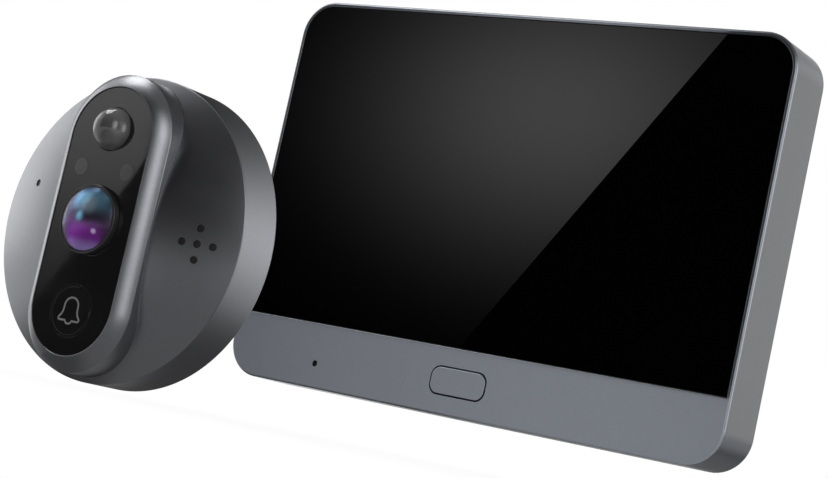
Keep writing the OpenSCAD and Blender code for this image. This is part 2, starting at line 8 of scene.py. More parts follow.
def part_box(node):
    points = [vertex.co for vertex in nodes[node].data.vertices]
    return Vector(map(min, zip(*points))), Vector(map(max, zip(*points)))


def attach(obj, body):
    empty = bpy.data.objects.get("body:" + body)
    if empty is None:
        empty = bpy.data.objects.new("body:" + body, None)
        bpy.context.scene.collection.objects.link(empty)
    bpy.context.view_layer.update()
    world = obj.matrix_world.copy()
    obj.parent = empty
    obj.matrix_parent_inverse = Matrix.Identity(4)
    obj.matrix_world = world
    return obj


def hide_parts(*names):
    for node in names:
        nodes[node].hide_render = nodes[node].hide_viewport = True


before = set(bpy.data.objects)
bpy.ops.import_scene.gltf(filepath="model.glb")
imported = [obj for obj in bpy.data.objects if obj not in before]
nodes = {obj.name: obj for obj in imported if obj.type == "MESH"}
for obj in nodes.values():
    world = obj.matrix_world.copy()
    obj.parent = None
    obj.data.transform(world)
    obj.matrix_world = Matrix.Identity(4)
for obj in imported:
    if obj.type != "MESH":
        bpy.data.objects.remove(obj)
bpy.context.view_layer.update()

MM = 0.001


def cap_sphere(radius, rise):
    """Radius of the sphere whose cap has a given radius and rise."""
    return (radius**2 + rise**2) / (2 * rise)


# Measures of the head in millimetres from its rim plane; the typed ones are as in the part's source
shell_low, shell_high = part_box("head_shell")
window_low, window_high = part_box("head_window")
HEAD_X = (shell_low.x + shell_high.x) / 2
HEAD_Z = (shell_low.z + shell_high.z) / 2
BAND_DEPTH = 10.0
RIM_Y = shell_high.y - BAND_DEPTH * MM
HEAD_R = (shell_high.x - shell_low.x) / 2 / MM
BEZEL_TOP = (RIM_Y - shell_low.y) / MM
WINDOW_HALF = (window_high.x - window_low.x) / 2 / MM
WINDOW_CORE = (window_high.z - window_low.z) / 2 / MM - WINDOW_HALF
WINDOW_FACE = (RIM_Y - window_low.y) / MM
LEDGE = (RIM_Y - window_high.y) / MM
LENS_STAND = 1.4
lens_low, lens_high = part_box("camera_lens")
LENS_R = (lens_high.x - lens_low.x) / 2 / MM
LENS_EDGE = WINDOW_FACE + LENS_STAND
LENS_TOP = (RIM_Y - lens_low.y) / MM
PIR_Y, PIR_R = 18.3, 4.3
PIR_TOP = (RIM_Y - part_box("pir_lens")[0].y) / MM
DOME_H = 7.0
DOME_R = cap_sphere(HEAD_R, DOME_H)
DOME_Z = DOME_H - DOME_R
SHELL_WALL = 1.8


def on_head(x, y, z):
    """A point of the head: x to the right, y up, z out of the rim plane."""
    return Vector((HEAD_X + x * MM, RIM_Y - z * MM, HEAD_Z + y * MM))


def head_turn(x, y, z):
    """A direction of the head, turned into the frame."""
    return Vector((x, -z, y))


# Camera, fitted to the photograph's edges
CAMERA_AT = (0.216743, -0.362398, -0.051429)
CAMERA_AZIMUTH, CAMERA_ELEVATION, CAMERA_ROLL = 34.115, -5.934, -12.413
CAMERA_LENS, CAMERA_SENSOR = 84.314, 36


def make_camera():
    azimuth, elevation = math.radians(CAMERA_AZIMUTH), math.radians(CAMERA_ELEVATION)
    back = Vector((
        math.sin(azimuth) * math.cos(elevation),
        -math.cos(azimuth) * math.cos(elevation),
        math.sin(elevation),
    ))
    right = Vector((0, 0, 1)).cross(back).normalized()
    up = back.cross(right)
    roll = math.radians(CAMERA_ROLL)
    level_right = right * math.cos(roll) - up * math.sin(roll)
    level_up = right * math.sin(roll) + up * math.cos(roll)
    data = bpy.data.cameras.new("camera")
    data.sensor_width = CAMERA_SENSOR
    data.lens = CAMERA_LENS
    data.clip_start, data.clip_end = 0.01, 20
    camera = bpy.data.objects.new("camera", data)
    turn = Matrix((level_right, level_up, back)).transposed().to_4x4()
    camera.matrix_world = Matrix.Translation(CAMERA_AT) @ turn
    bpy.context.scene.collection.objects.link(camera)
    bpy.context.scene.camera = camera


make_camera()


# Shared shader effects, with their noise in grains per metre
BLOTCH_GRAINS = 90.0
CHIP_GRAINS = 700.0
SMEAR_GRAINS, SMEAR_STRETCH = 60.0, (1.0, 1.0, 2.6)
SPECK_GRAINS, SPECK_SHARE = 1500.0, 0.35
LINE_GRAINS, LINE_STRETCH = 1800.0, (0.02, 1.0, 1.0)
DUST_GRAINS = 250.0


def new_group(name, inputs, outputs):
    group = bpy.data.node_groups.new(name, "ShaderNodeTree")
    for label, value in inputs.items():
        socket = group.interface.new_socket(label, in_out="INPUT", socket_type="NodeSocketFloat")
        socket.default_value = value
    for label in outputs:
        group.interface.new_socket(label, in_out="OUTPUT", socket_type="NodeSocketFloat")
    return group, group.nodes.new("NodeGroupInput"), group.nodes.new("NodeGroupOutput")


def join(tree, source, target):
    tree.links.new(source, target)


def math_node(tree, kind, a, b=None, c=None, clamp=False):
    node = tree.nodes.new("ShaderNodeMath")
    node.operation = kind
    node.use_clamp = clamp
    for socket, value in zip(node.inputs, (a, b, c)):
        if value is None:
            continue
        if hasattr(value, "is_output"):
            join(tree, value, socket)
        else:
            socket.default_value = value
    return node.outputs[0]


def smooth_step(tree, value, low, high):
    node = tree.nodes.new("ShaderNodeMapRange")
    node.interpolation_type = "SMOOTHSTEP"
    join(tree, value, node.inputs["Value"])
    node.inputs["From Min"].default_value = low
    node.inputs["From Max"].default_value = high
    return node.outputs["Result"]


def object_noise(tree, scale, detail=2.0, stretch=None):
    """Noise on Object coordinates; scale is in grains per metre, a number or a socket."""
    place = tree.nodes.new("ShaderNodeTexCoord").outputs["Object"]
    if stretch:
        mapping = tree.nodes.new("ShaderNodeMapping")
        mapping.inputs["Scale"].default_value = stretch
        join(tree, place, mapping.inputs["Vector"])
        place = mapping.outputs["Vector"]
    noise = tree.nodes.new("ShaderNodeTexNoise")
    noise.inputs["Detail"].default_value = detail
    join(tree, place, noise.inputs["Vector"])
    if hasattr(scale, "is_output"):
        join(tree, scale, noise.inputs["Scale"])
    else:
        noise.inputs["Scale"].default_value = scale
    return noise.outputs["Fac"]


def make_grain():
    group, given, out = new_group("moulded_grain", {"Scale": 4000.0, "Depth": 1.0}, ["Height", "Mottle"])
    fine = object_noise(group, given.outputs["Scale"], 3.0)
    join(group, math_node(group, "MULTIPLY", fine, given.outputs["Depth"]), out.inputs["Height"])
    join(group, object_noise(group, BLOTCH_GRAINS, 4.0), out.inputs["Mottle"])
    return group


def make_flake():
    group, given, out = new_group("paint_flake", {"Scale": 9000.0, "Depth": 1.0}, ["Height", "Sparkle"])
    cells = group.nodes.new("ShaderNodeTexVoronoi")
    join(group, group.nodes.new("ShaderNodeTexCoord").outputs["Object"], cells.inputs["Vector"])
    join(group, given.outputs["Scale"], cells.inputs["Scale"])
    split = group.nodes.new("ShaderNodeSeparateColor")
    join(group, cells.outputs["Color"], split.inputs["Color"])
    height = math_node(group, "MULTIPLY", split.outputs[0], given.outputs["Depth"])
    join(group, height, out.inputs["Height"])
    join(group, split.outputs[1], out.inputs["Sparkle"])
    return group


def make_edge_wear():
    group, given, out = new_group("edge_wear", {"Width": 0.0004, "Strength": 1.0}, ["Wear"])
    bevel = group.nodes.new("ShaderNodeBevel")
    bevel.samples = 4
    join(group, given.outputs["Width"], bevel.inputs["Radius"])
    facing = group.nodes.new("ShaderNodeVectorMath")
    facing.operation = "DOT_PRODUCT"
    join(group, bevel.outputs["Normal"], facing.inputs[0])
    join(group, group.nodes.new("ShaderNodeNewGeometry").outputs["Normal"], facing.inputs[1])
    turned = math_node(group, "SUBTRACT", 1.0, facing.outputs["Value"], clamp=True)
    edge = smooth_step(group, turned, 0.02, 0.25)
    broken = smooth_step(group, object_noise(group, CHIP_GRAINS, 4.0), 0.35, 0.65)
    worn = math_node(group, "MULTIPLY", edge, broken)
    worn = math_node(group, "MULTIPLY", worn, given.outputs["Strength"], clamp=True)
    join(group, worn, out.inputs["Wear"])
    return group


def make_handling():
    group, given, out = new_group("handling_marks", {"Low": 0.3, "High": 0.4}, ["Roughness", "Marks"])
    smears = smooth_step(group, object_noise(group, SMEAR_GRAINS, 5.0, SMEAR_STRETCH), 0.3, 0.7)
    specks = smooth_step(group, object_noise(group, SPECK_GRAINS, 2.0), 0.62, 0.75)
    marks = math_node(group, "MULTIPLY_ADD", specks, SPECK_SHARE, smears, clamp=True)
    spread = math_node(group, "SUBTRACT", given.outputs["High"], given.outputs["Low"])
    rough = math_node(group, "MULTIPLY_ADD", marks, spread, given.outputs["Low"])
    join(group, rough, out.inputs["Roughness"])
    join(group, marks, out.inputs["Marks"])
    return group


def make_brushed():
    group, given, out = new_group("brushed_lines", {"Depth": 1.0}, ["Height", "Streak"])
    lines = object_noise(group, LINE_GRAINS, 3.0, LINE_STRETCH)
    join(group, math_node(group, "MULTIPLY", lines, given.outputs["Depth"]), out.inputs["Height"])
    join(group, lines, out.inputs["Streak"])
    return group


def make_dust():
    group, given, out = new_group("settled_dust", {"Amount": 0.2}, ["Dust"])
    parts = group.nodes.new("ShaderNodeSeparateXYZ")
    join(group, group.nodes.new("ShaderNodeNewGeometry").outputs["Normal"], parts.inputs[0])
    upward = smooth_step(group, parts.outputs["Z"], 0.3, 1.0)
    patch = smooth_step(group, object_noise(group, DUST_GRAINS, 6.0), 0.4, 0.75)
    dust = math_node(group, "MULTIPLY", upward, patch)
    join(group, math_node(group, "MULTIPLY", dust, given.outputs["Amount"]), out.inputs["Dust"])
    return group


GRAIN, FLAKE, EDGE_WEAR = make_grain(), make_flake(), make_edge_wear()
HANDLING, BRUSHED, DUST = make_handling(), make_brushed(), make_dust()


# Finishes; low and high are the roughness of clean and of handled spots
PAINT_DUST = (0.5, 0.49, 0.47)
GLOSS_DUST = (0.3, 0.3, 0.29)
PLASTIC_DUST = (0.4, 0.39, 0.37)
GLOSS_WORN = (0.05, 0.05, 0.055)
FLAKES, PAINT_GRAINS, PAINT_RELIEF = 11000.0, 2500.0, 0.000004
TRACK_SCALE, TRACK_GAP, TRACK_RELIEF = 260.0, 0.03, 0.00003
FOAM_CELLS, FOAM_RELIEF = 2600.0, 0.0002


def new_finish(name, metallic=0.0, coat=0.0, coat_roughness=0.1, ior=1.5):
    material = bpy.data.materials.new(name)
    material.use_nodes = True
    tree = material.node_tree
    shader = tree.nodes["Principled BSDF"]
    shader.inputs["Metallic"].default_value = metallic
    shader.inputs["Coat Weight"].default_value = coat
    shader.inputs["Coat Roughness"].default_value = coat_roughness
    shader.inputs["IOR"].default_value = ior
    return material, tree, shader


def effect(tree, group, **values):
    node = tree.nodes.new("ShaderNodeGroup")
    node.node_tree = group
    for label, value in values.items():
        node.inputs[label].default_value = value
    return node.outputs


def blend_colours(tree, share, low, high):
    node = tree.nodes.new("ShaderNodeMix")
    node.data_type = "RGBA"
    join(tree, share, node.inputs["Factor"])
    for socket, value in ((node.inputs["A"], low), (node.inputs["B"], high)):
        if hasattr(value, "is_output"):
            join(tree, value, socket)
        else:
            socket.default_value = (*value, 1.0)
    return node.outputs["Result"]


def bump(tree, shader, height, distance, strength=1.0):
    node = tree.nodes.new("ShaderNodeBump")
    node.inputs["Strength"].default_value = strength
    node.inputs["Distance"].default_value = distance
    join(tree, height, node.inputs["Height"])
    join(tree, node.outputs["Normal"], shader.inputs["Normal"])


def shade(value, factor):
    return tuple(min(1.0, channel * factor) for channel in value)


def metallic_paint(name, colour, metallic, low, high, worn):
    material, tree, shader = new_finish(name, metallic, coat=0.12, coat_roughness=0.3)
    flake = effect(tree, FLAKE, Scale=FLAKES, Depth=1.0)
    grain = effect(tree, GRAIN, Scale=PAINT_GRAINS, Depth=1.0)
    marks = effect(tree, HANDLING, Low=low, High=high)
    wear = effect(tree, EDGE_WEAR, Width=0.0003, Strength=0.12)
    dust = effect(tree, DUST, Amount=0.1)
    flaked = blend_colours(tree, flake["Sparkle"], shade(colour, 0.9), shade(colour, 1.12))
    blotch = math_node(tree, "MULTIPLY", grain["Mottle"], 0.25)
    mottled = blend_colours(tree, blotch, flaked, shade(colour, 0.8))
    edged = blend_colours(tree, wear["Wear"], mottled, worn)
    dusty = blend_colours(tree, dust["Dust"], edged, PAINT_DUST)
    join(tree, dusty, shader.inputs["Base Color"])
    join(tree, marks["Roughness"], shader.inputs["Roughness"])
    relief = math_node(tree, "ADD", flake["Height"], grain["Height"])
    bump(tree, shader, relief, PAINT_RELIEF, 0.5)
    return material


def gloss(name, colour, low, high, dust_amount=0.12, worn=0.25, ior=1.5):
    material, tree, shader = new_finish(name, ior=ior)
    marks = effect(tree, HANDLING, Low=low, High=high)
    dust = effect(tree, DUST, Amount=dust_amount)
    wear = effect(tree, EDGE_WEAR, Width=0.0002, Strength=worn)
    smeared = math_node(tree, "MULTIPLY", marks["Marks"], 0.2)
    base = blend_colours(tree, smeared, colour, shade(colour, 1.6))
    edged = blend_colours(tree, wear["Wear"], base, GLOSS_WORN)
    dusty = blend_colours(tree, dust["Dust"], edged, GLOSS_DUST)
    join(tree, dusty, shader.inputs["Base Color"])
    join(tree, marks["Roughness"], shader.inputs["Roughness"])
    return material


def moulded(name, colour, low, high, grain_scale, depth, worn, dust_amount=0.15):
    material, tree, shader = new_finish(name)
    grain = effect(tree, GRAIN, Scale=grain_scale, Depth=1.0)
    marks = effect(tree, HANDLING, Low=low, High=high)
    wear = effect(tree, EDGE_WEAR, Width=0.0003, Strength=0.5)
    dust = effect(tree, DUST, Amount=dust_amount)
    mottled = blend_colours(tree, grain["Mottle"], shade(colour, 0.85), shade(colour, 1.15))
    edged = blend_colours(tree, wear["Wear"], mottled, worn)
    dusty = blend_colours(tree, dust["Dust"], edged, PLASTIC_DUST)
    join(tree, dusty, shader.inputs["Base Color"])
    join(tree, marks["Roughness"], shader.inputs["Roughness"])
    bump(tree, shader, grain["Height"], depth)
    return material


def bare_metal(name, colour, low, high, line_depth):
    material, tree, shader = new_finish(name, 1.0)
    lines = effect(tree, BRUSHED, Depth=1.0)
    marks = effect(tree, HANDLING, Low=low, High=high)
    wear = effect(tree, EDGE_WEAR, Width=0.0002, Strength=0.8)
    streaked = blend_colours(tree, lines["Streak"], shade(colour, 0.8), shade(colour, 1.15))
    edged = blend_colours(tree, wear["Wear"], streaked, shade(colour, 1.3))
    join(tree, edged, shader.inputs["Base Color"])
    join(tree, marks["Roughness"], shader.inputs["Roughness"])
    bump(tree, shader, lines["Height"], line_depth, 0.6)
    return material


def circuit_board(name):
    material, tree, shader = new_finish(name, coat=0.4)
    place = tree.nodes.new("ShaderNodeTexCoord").outputs["Object"]
    bricks = tree.nodes.new("ShaderNodeTexBrick")
    join(tree, place, bricks.inputs["Vector"])
    bricks.inputs["Scale"].default_value = TRACK_SCALE
    bricks.inputs["Mortar Size"].default_value = TRACK_GAP
    grain = effect(tree, GRAIN, Scale=1500.0, Depth=1.0)
    mask = blend_colours(tree, grain["Mottle"], (0.006, 0.05, 0.022), (0.01, 0.08, 0.035))
    tracks = blend_colours(tree, bricks.outputs["Fac"], mask, (0.02, 0.13, 0.05))
    join(tree, tracks, shader.inputs["Base Color"])
    join(tree, effect(tree, HANDLING, Low=0.3, High=0.45)["Roughness"], shader.inputs["Roughness"])
    bump(tree, shader, bricks.outputs["Fac"], TRACK_RELIEF)
    return material


def foam(name):
    material, tree, shader = new_finish(name)
    cells = tree.nodes.new("ShaderNodeTexVoronoi")
    join(tree, tree.nodes.new("ShaderNodeTexCoord").outputs["Object"], cells.inputs["Vector"])
    cells.inputs["Scale"].default_value = FOAM_CELLS
    grain = effect(tree, GRAIN, Scale=900.0, Depth=1.0)
    pores = blend_colours(tree, cells.outputs["Distance"], (0.012, 0.012, 0.013), (0.04, 0.04, 0.042))
    mottled = blend_colours(tree, grain["Mottle"], pores, (0.03, 0.03, 0.032))
    join(tree, mottled, shader.inputs["Base Color"])
    join(tree, effect(tree, HANDLING, Low=0.85, High=0.95)["Roughness"], shader.inputs["Roughness"])
    bump(tree, shader, cells.outputs["Distance"], FOAM_RELIEF)
    return material


def place_parts(tree):
    parts = tree.nodes.new("ShaderNodeSeparateXYZ")
    join(tree, tree.nodes.new("ShaderNodeTexCoord").outputs["Object"], parts.inputs[0])
    return parts.outputs


def spot_share(tree, across, height, spot, inner, outer):
    """One inside a small round spot and nothing outside, with a soft edge; sizes in millimetres."""
    dx = math_node(tree, "SUBTRACT", across, spot[0])
    dz = math_node(tree, "SUBTRACT", height, spot[1])
    squared = math_node(tree, "MULTIPLY_ADD", dx, dx, math_node(tree, "MULTIPLY", dz, dz))
    return smooth_step(tree, math_node(tree, "SQRT", squared), outer, inner)


# Coating of the inner lens element, with painted reflections, painted shade and painted highlights, in
# millimetres from the head's centre
COATING_MIDDLE = (0.11, 0.09, 0.13)
# Painted reflections by height, blue above and magenta to violet below, with painted shade at the top rim:
# height where a colour starts, height where it is full, and the colour
COATING_REFLECTIONS = (
    (0.2, 3.6, (0.2, 0.42, 0.56)),
    (4.2, 6.0, (0.05, 0.1, 0.15)),
    (0.6, -3.0, (0.24, 0.035, 0.32)),
    (-3.4, -6.0, (0.4, 0.28, 0.62)),
)
# Painted shade at the left and right sides: where it starts and where it is full across, then its colour and
# share
SHADED_SIDES = ((-1.8, -5.0), (3.4, 6.0))
SIDE_SHADE, SIDE_SHADE_SHARE = (0.03, 0.028, 0.036), 0.85
# Painted highlights: place, radius of the core, radius of the edge, and colour
LENS_PAINTED_HIGHLIGHTS = (
    ((1.4, 2.6), 0.3, 2.3, (0.5, 0.66, 0.75)),
    ((-0.3, 0.2), 0.2, 1.4, (0.22, 0.55, 0.72)),
    ((3.3, -2.3), 0.1, 0.75, (0.95, 0.7, 1.0)),
)


def coated_element_and_reflections(name):
    """Inner lens element: its coating colour carries painted reflections, blue above and magenta to violet
    below, painted shade at the top rim and the sides, and three painted highlights.
    """
    material, tree, shader = new_finish(name, 0.72)
    shader.inputs["Specular Tint"].default_value = (0.35, 0.22, 0.5, 1.0)
    place = place_parts(tree)
    across = math_node(tree, "DIVIDE", math_node(tree, "SUBTRACT", place["X"], HEAD_X), MM)
    height = math_node(tree, "DIVIDE", math_node(tree, "SUBTRACT", place["Z"], HEAD_Z), MM)
    colour = COATING_MIDDLE
    for start, full, band in COATING_REFLECTIONS:
        colour = blend_colours(tree, smooth_step(tree, height, start, full), colour, band)
    left, right = (smooth_step(tree, across, start, full) for start, full in SHADED_SIDES)
    side_shade = math_node(tree, "MULTIPLY", math_node(tree, "ADD", left, right), SIDE_SHADE_SHARE)
    colour = blend_colours(tree, side_shade, colour, SIDE_SHADE)
    for spot, inner, outer, painted_highlight in LENS_PAINTED_HIGHLIGHTS:
        colour = blend_colours(tree, spot_share(tree, across, height, spot, inner, outer), colour, painted_highlight)
    join(tree, colour, shader.inputs["Base Color"])
    join(tree, effect(tree, HANDLING, Low=0.24, High=0.27)["Roughness"], shader.inputs["Roughness"])
    return material


def clear_cover(name):
    material, tree, shader = new_finish(name, ior=1.07)
    shader.inputs["Transmission Weight"].default_value = 1.0
    marks = effect(tree, HANDLING, Low=0.0, High=0.02)
    tint = blend_colours(tree, marks["Marks"], (0.96, 0.97, 1.0), (0.9, 0.92, 0.96))
    join(tree, tint, shader.inputs["Base Color"])
    join(tree, marks["Roughness"], shader.inputs["Roughness"])
    return material


GREY = (0.236, 0.253, 0.288)
HEAD_GREY = (0.242, 0.247, 0.266)
BARE_EDGE = (0.42, 0.43, 0.45)
BLACK = (0.05, 0.05, 0.051)
paint = metallic_paint("satin_grey_paint", GREY, 0.75, 0.29, 0.315, BARE_EDGE)
head_paint = metallic_paint("head_grey_paint", HEAD_GREY, 0.75, 0.29, 0.315, BARE_EDGE)
window_black = gloss("black_window", BLACK, 0.02, 0.05, worn=0.05)
screen_black = gloss("screen_glass", (0.0022, 0.0022, 0.0025), 0.01, 0.03)
button_black = gloss("bell_button_black", BLACK, 0.03, 0.06, worn=0.05)
baffle_black = moulded(
    "lens_baffle_black", (0.004, 0.004, 0.005), 0.4, 0.55, 5000.0, 0.00001, (0.02, 0.02, 0.02))
lens_cover_glass = clear_cover("lens_cover_glass")
lens_coating_and_reflections = coated_element_and_reflections("coated_lens_and_reflections")
sensor_plastic = gloss(
    "sensor_dome_plastic", (0.26, 0.26, 0.262), 0.03, 0.05, dust_amount=0.05, worn=0.0, ior=1.52)
smoked = gloss("smoked_emitter_plastic", (0.18, 0.18, 0.181), 0.04, 0.08, worn=0.0)
light_guide = gloss("bell_ring_plastic", (0.06, 0.06, 0.061), 0.04, 0.07, worn=0.0)
print_grey = moulded("bell_print", (0.82, 0.82, 0.83), 0.4, 0.55, 6000.0, 0.000004, (0.85, 0.85, 0.86))
dark_plastic = moulded(
    "black_moulded_plastic", (0.018, 0.018, 0.02), 0.45, 0.6, 5000.0, 0.00003, (0.05, 0.05, 0.05))
rear_plastic = moulded(
    "rear_cover_plastic", (0.032, 0.033, 0.036), 0.5, 0.65, 4200.0, 0.00005, (0.07, 0.07, 0.075))
board_green = circuit_board("green_circuit_board")
plated = bare_metal("nickel_plated_steel", (0.55, 0.54, 0.52), 0.22, 0.36, 0.00001)
zinc = bare_metal("zinc_bracket_steel", (0.5, 0.51, 0.52), 0.35, 0.5, 0.00003)
brass = bare_metal("turned_brass", (0.62, 0.43, 0.17), 0.25, 0.38, 0.00001)
gasket_foam = foam("gasket_foam")
battery_wrap = gloss("battery_wrap", (0.02, 0.035, 0.08), 0.25, 0.4)
ivory = moulded("ivory_socket_plastic", (0.6, 0.56, 0.45), 0.4, 0.5, 5000.0, 0.00001, (0.7, 0.66, 0.56))


# Mesh tools; distances that count as touching are in metres
TOUCHING = 2e-6
SMOOTH_UNDER, ROUNDED_OVER, FLAT_UNDER = 32.0, 25.0, 0.3


def link_temporary(mesh):
    obj = bpy.data.objects.new("working", mesh)
    bpy.context.scene.collection.objects.link(obj)
    return obj


def settled_mesh(obj, name):
    """The evaluated mesh of a working object, which is then removed."""
    bpy.context.view_layer.update()
    state = bpy.context.evaluated_depsgraph_get()
    mesh = bpy.data.meshes.new_from_object(
        obj.evaluated_get(state), preserve_all_data_layers=True, depsgraph=state)
    mesh.name = name
    bpy.data.objects.remove(obj)
    return mesh


def add_piece(name, mesh, body, slot, material, *stands_for):
    mesh.materials.clear()
    mesh.materials.append(material)
    obj = bpy.data.objects.new(name, mesh)
    bpy.context.scene.collection.objects.link(obj)
    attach(obj, body)
    if stands_for:
        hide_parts(*stands_for)
    return obj


def mesh_of(name, points, faces):
    mesh = bpy.data.meshes.new(name)
    mesh.from_pydata([tuple(p) for p in points], [], faces)
    mesh.update()
    return mesh


def outward(mesh):
    work = bmesh.new()
    work.from_mesh(mesh)
    bmesh.ops.recalc_face_normals(work, faces=work.faces)
    if work.calc_volume(signed=True) < 0:
        bmesh.ops.reverse_faces(work, faces=work.faces)
    work.to_mesh(mesh)
    work.free()


def smooth(mesh, angle=SMOOTH_UNDER):
    mesh.shade_smooth()
    mesh.set_sharp_from_angle(angle=math.radians(angle))


def cut_away(mesh, cutter):
    body, tool = link_temporary(mesh), link_temporary(cutter)
    modifier = body.modifiers.new("cut", "BOOLEAN")
    modifier.operation = "DIFFERENCE"
    modifier.solver = "EXACT"
    modifier.object = tool
    cut = settled_mesh(body, mesh.name + "_cut")
    bpy.data.objects.remove(tool)
    return cut


def softened(node, edge, steps):
    """A copy of a CAD node with its edges rounded by edge millimetres."""
    work = bmesh.new()
    work.from_mesh(nodes[node].data)
    bmesh.ops.remove_doubles(work, verts=work.verts, dist=TOUCHING)
    flat = math.radians(FLAT_UNDER)
    bmesh.ops.dissolve_limit(work, angle_limit=flat, verts=work.verts, edges=work.edges)
    mesh = bpy.data.meshes.new(node)
    work.to_mesh(mesh)
    work.free()
    mesh.shade_smooth()
    obj = link_temporary(mesh)
    modifier = obj.modifiers.new("edges", "BEVEL")
    modifier.width = edge * MM
    modifier.segments = steps
    modifier.limit_method = "ANGLE"
    modifier.angle_limit = math.radians(ROUNDED_OVER)
    modifier.use_clamp_overlap = False
    weighted = obj.modifiers.new("flat_faces", "WEIGHTED_NORMAL")
    weighted.mode = "FACE_AREA"
    weighted.weight = 100
    return settled_mesh(obj, node + "_finished")


def lathe(name, profile, centre, axis=(0, -1, 0), segments=64):
    """Turns a closed profile of (radius, height) in millimetres about an axis through centre."""
    axis = Vector(axis).normalized()
    side = axis.orthogonal().normalized()
    over = axis.cross(side)
    points, rings = [], []
    for radius, height in profile:
        if radius < 1e-6:
            rings.append([len(points)])
            points.append(centre + axis * height * MM)
            continue
        rings.append(list(range(len(points), len(points) + segments)))
        for i in range(segments):
            angle = 2 * math.pi * i / segments
            arm = side * math.cos(angle) + over * math.sin(angle)
            points.append(centre + arm * radius * MM + axis * height * MM)
    faces = []
    for low, high in zip(rings, rings[1:] + rings[:1]):
        if len(low) == 1 and len(high) == 1:
            continue
        for i in range(segments):
            j = (i + 1) % segments
            if len(low) == 1:
                faces.append((low[0], high[j], high[i]))
            elif len(high) == 1:
                faces.append((low[i], low[j], high[0]))
            else:
                faces.append((low[i], low[j], high[j], high[i]))
    mesh = mesh_of(name, points, faces)
    outward(mesh)
    smooth(mesh)
    return mesh


def arc(centre, radius, start, end, steps):
    """Points of an arc in a profile, from start to end in degrees."""
    turns = [math.radians(start + (end - start) * i / steps) for i in range(steps + 1)]
    return [(centre[0] + radius * math.cos(turn), centre[1] + radius * math.sin(turn)) for turn in turns]


# Head shell: a profile carried round the window, with the domed front, the bezel and the band
WINDOW_GAP = 0.1
BEZEL_W = 3.1
POCKET = WINDOW_HALF + WINDOW_GAP
WALL_AT = WINDOW_HALF + BEZEL_W
# The bezel leans by BEZEL_SLOPE degrees at the lip and BEZEL_TURN where it rounds over, BEZEL_DROP down
BEZEL_SLOPE, BEZEL_TURN, BEZEL_DROP = 26.0, 52.0, 2.4
LIP_ROUND = 0.12
LIP_STEPS, SLOPE_STEPS, TURN_STEPS = 6, 10, 8
FOOT_ROUND, FOOT_STEPS, FOOT_AHEAD = 0.03, 6, 0.05
RIM_ROUND, RIM_STEPS = 0.3, 6
REAR_ROUND, REAR_STEPS = 0.3, 4
INNER_EDGE = 0.05
LEDGE_W, LEDGE_T = 1.0, 1.4
LEDGE_IN = WINDOW_HALF - LEDGE_W
LEDGE_UNDER = LEDGE - LEDGE_T
HOLLOW_AT = WALL_AT - SHELL_WALL
DOME_ROWS, BAND_ROWS, INSIDE_ROWS = 18, 3, 8
SIDE_STATIONS, END_STATIONS = 30, 56
SOUND_R, SOUND_SIDES = 0.75, 28
SOUND_AT, SOUND_PITCH = (23.0, -0.85), 3.05
SOUND_CROSS = ((0, 0), (1, 0), (-1, 0), (0, 1), (0, -1))
MIC_AT = (-21.2, 6.3)
SOUND_CUT_AT, SOUND_CUT_L = 3.0, 8.0
SHELL_SMOOTH_UNDER, SAME_SIDE = 40.0, 0.85


def dome_height(x, y, inset=0.0):
    return DOME_Z + math.sqrt((DOME_R - inset) ** 2 - x * x - y * y)


class Station:
    """One ray from the window's core line out to the rim."""

    def __init__(self, base, angle):
        self.base = base
        self.out = (math.cos(angle), math.sin(angle))

    def at(self, reach):
        return self.out[0] * reach, self.base + self.out[1] * reach

    def reach_of(self, radius):
        along = self.base * self.out[1]
        return -along + math.sqrt(along**2 - self.base**2 + radius**2)

    def point(self, reach, z):
        x, y = self.at(reach)
        return on_head(x, y, z)

    def normal(self, outwards, up):
        return head_turn(self.out[0] * outwards, self.out[1] * outwards, up)


def head_stations():
    stations = []
    for i in range(SIDE_STATIONS):
        stations.append(Station(-WINDOW_CORE + 2 * WINDOW_CORE * i / SIDE_STATIONS, 0.0))
    for i in range(END_STATIONS):
        stations.append(Station(WINDOW_CORE, math.pi * i / END_STATIONS))
    for i in range(SIDE_STATIONS):
        stations.append(Station(WINDOW_CORE - 2 * WINDOW_CORE * i / SIDE_STATIONS, math.pi))
    for i in range(END_STATIONS):
        stations.append(Station(-WINDOW_CORE, math.pi + math.pi * i / END_STATIONS))
    return stations


def arc_rows(centre, radius, start, end, steps):
    """Points of an arc with their normals."""
    return [(x, z, (x - centre[0]) / radius, (z - centre[1]) / radius)
            for x, z in arc(centre, radius, start, end, steps)]


def bezel_rows():
    """Lip, then a slope that curves gently outwards and rounds over into the wall."""
    centre = (POCKET + LIP_ROUND, BEZEL_TOP - LIP_ROUND)
    rows = arc_rows(centre, LIP_ROUND, 180, 90 - BEZEL_SLOPE, LIP_STEPS)
    x, z = rows[-1][:2]
    slope, turn = math.radians(BEZEL_SLOPE), math.radians(BEZEL_TURN)
    across = (math.sin(turn) - math.sin(slope), 1 - math.sin(turn))
    down = (math.cos(slope) - math.cos(turn), math.cos(turn))
    room = Vector((WALL_AT - x, z - BEZEL_TOP + BEZEL_DROP))
    gentle, tight = Matrix((across, down)).inverted() @ room
    centre = (x - gentle * math.sin(slope), z - gentle * math.cos(slope))
    rows += arc_rows(centre, gentle, 90 - BEZEL_SLOPE, 90 - BEZEL_TURN, SLOPE_STEPS)[1:]
    x, z = rows[-1][:2]
    centre = (x - tight * math.sin(turn), z - tight * math.cos(turn))
    return rows + arc_rows(centre, tight, 90 - BEZEL_TURN, 0, TURN_STEPS)[1:]


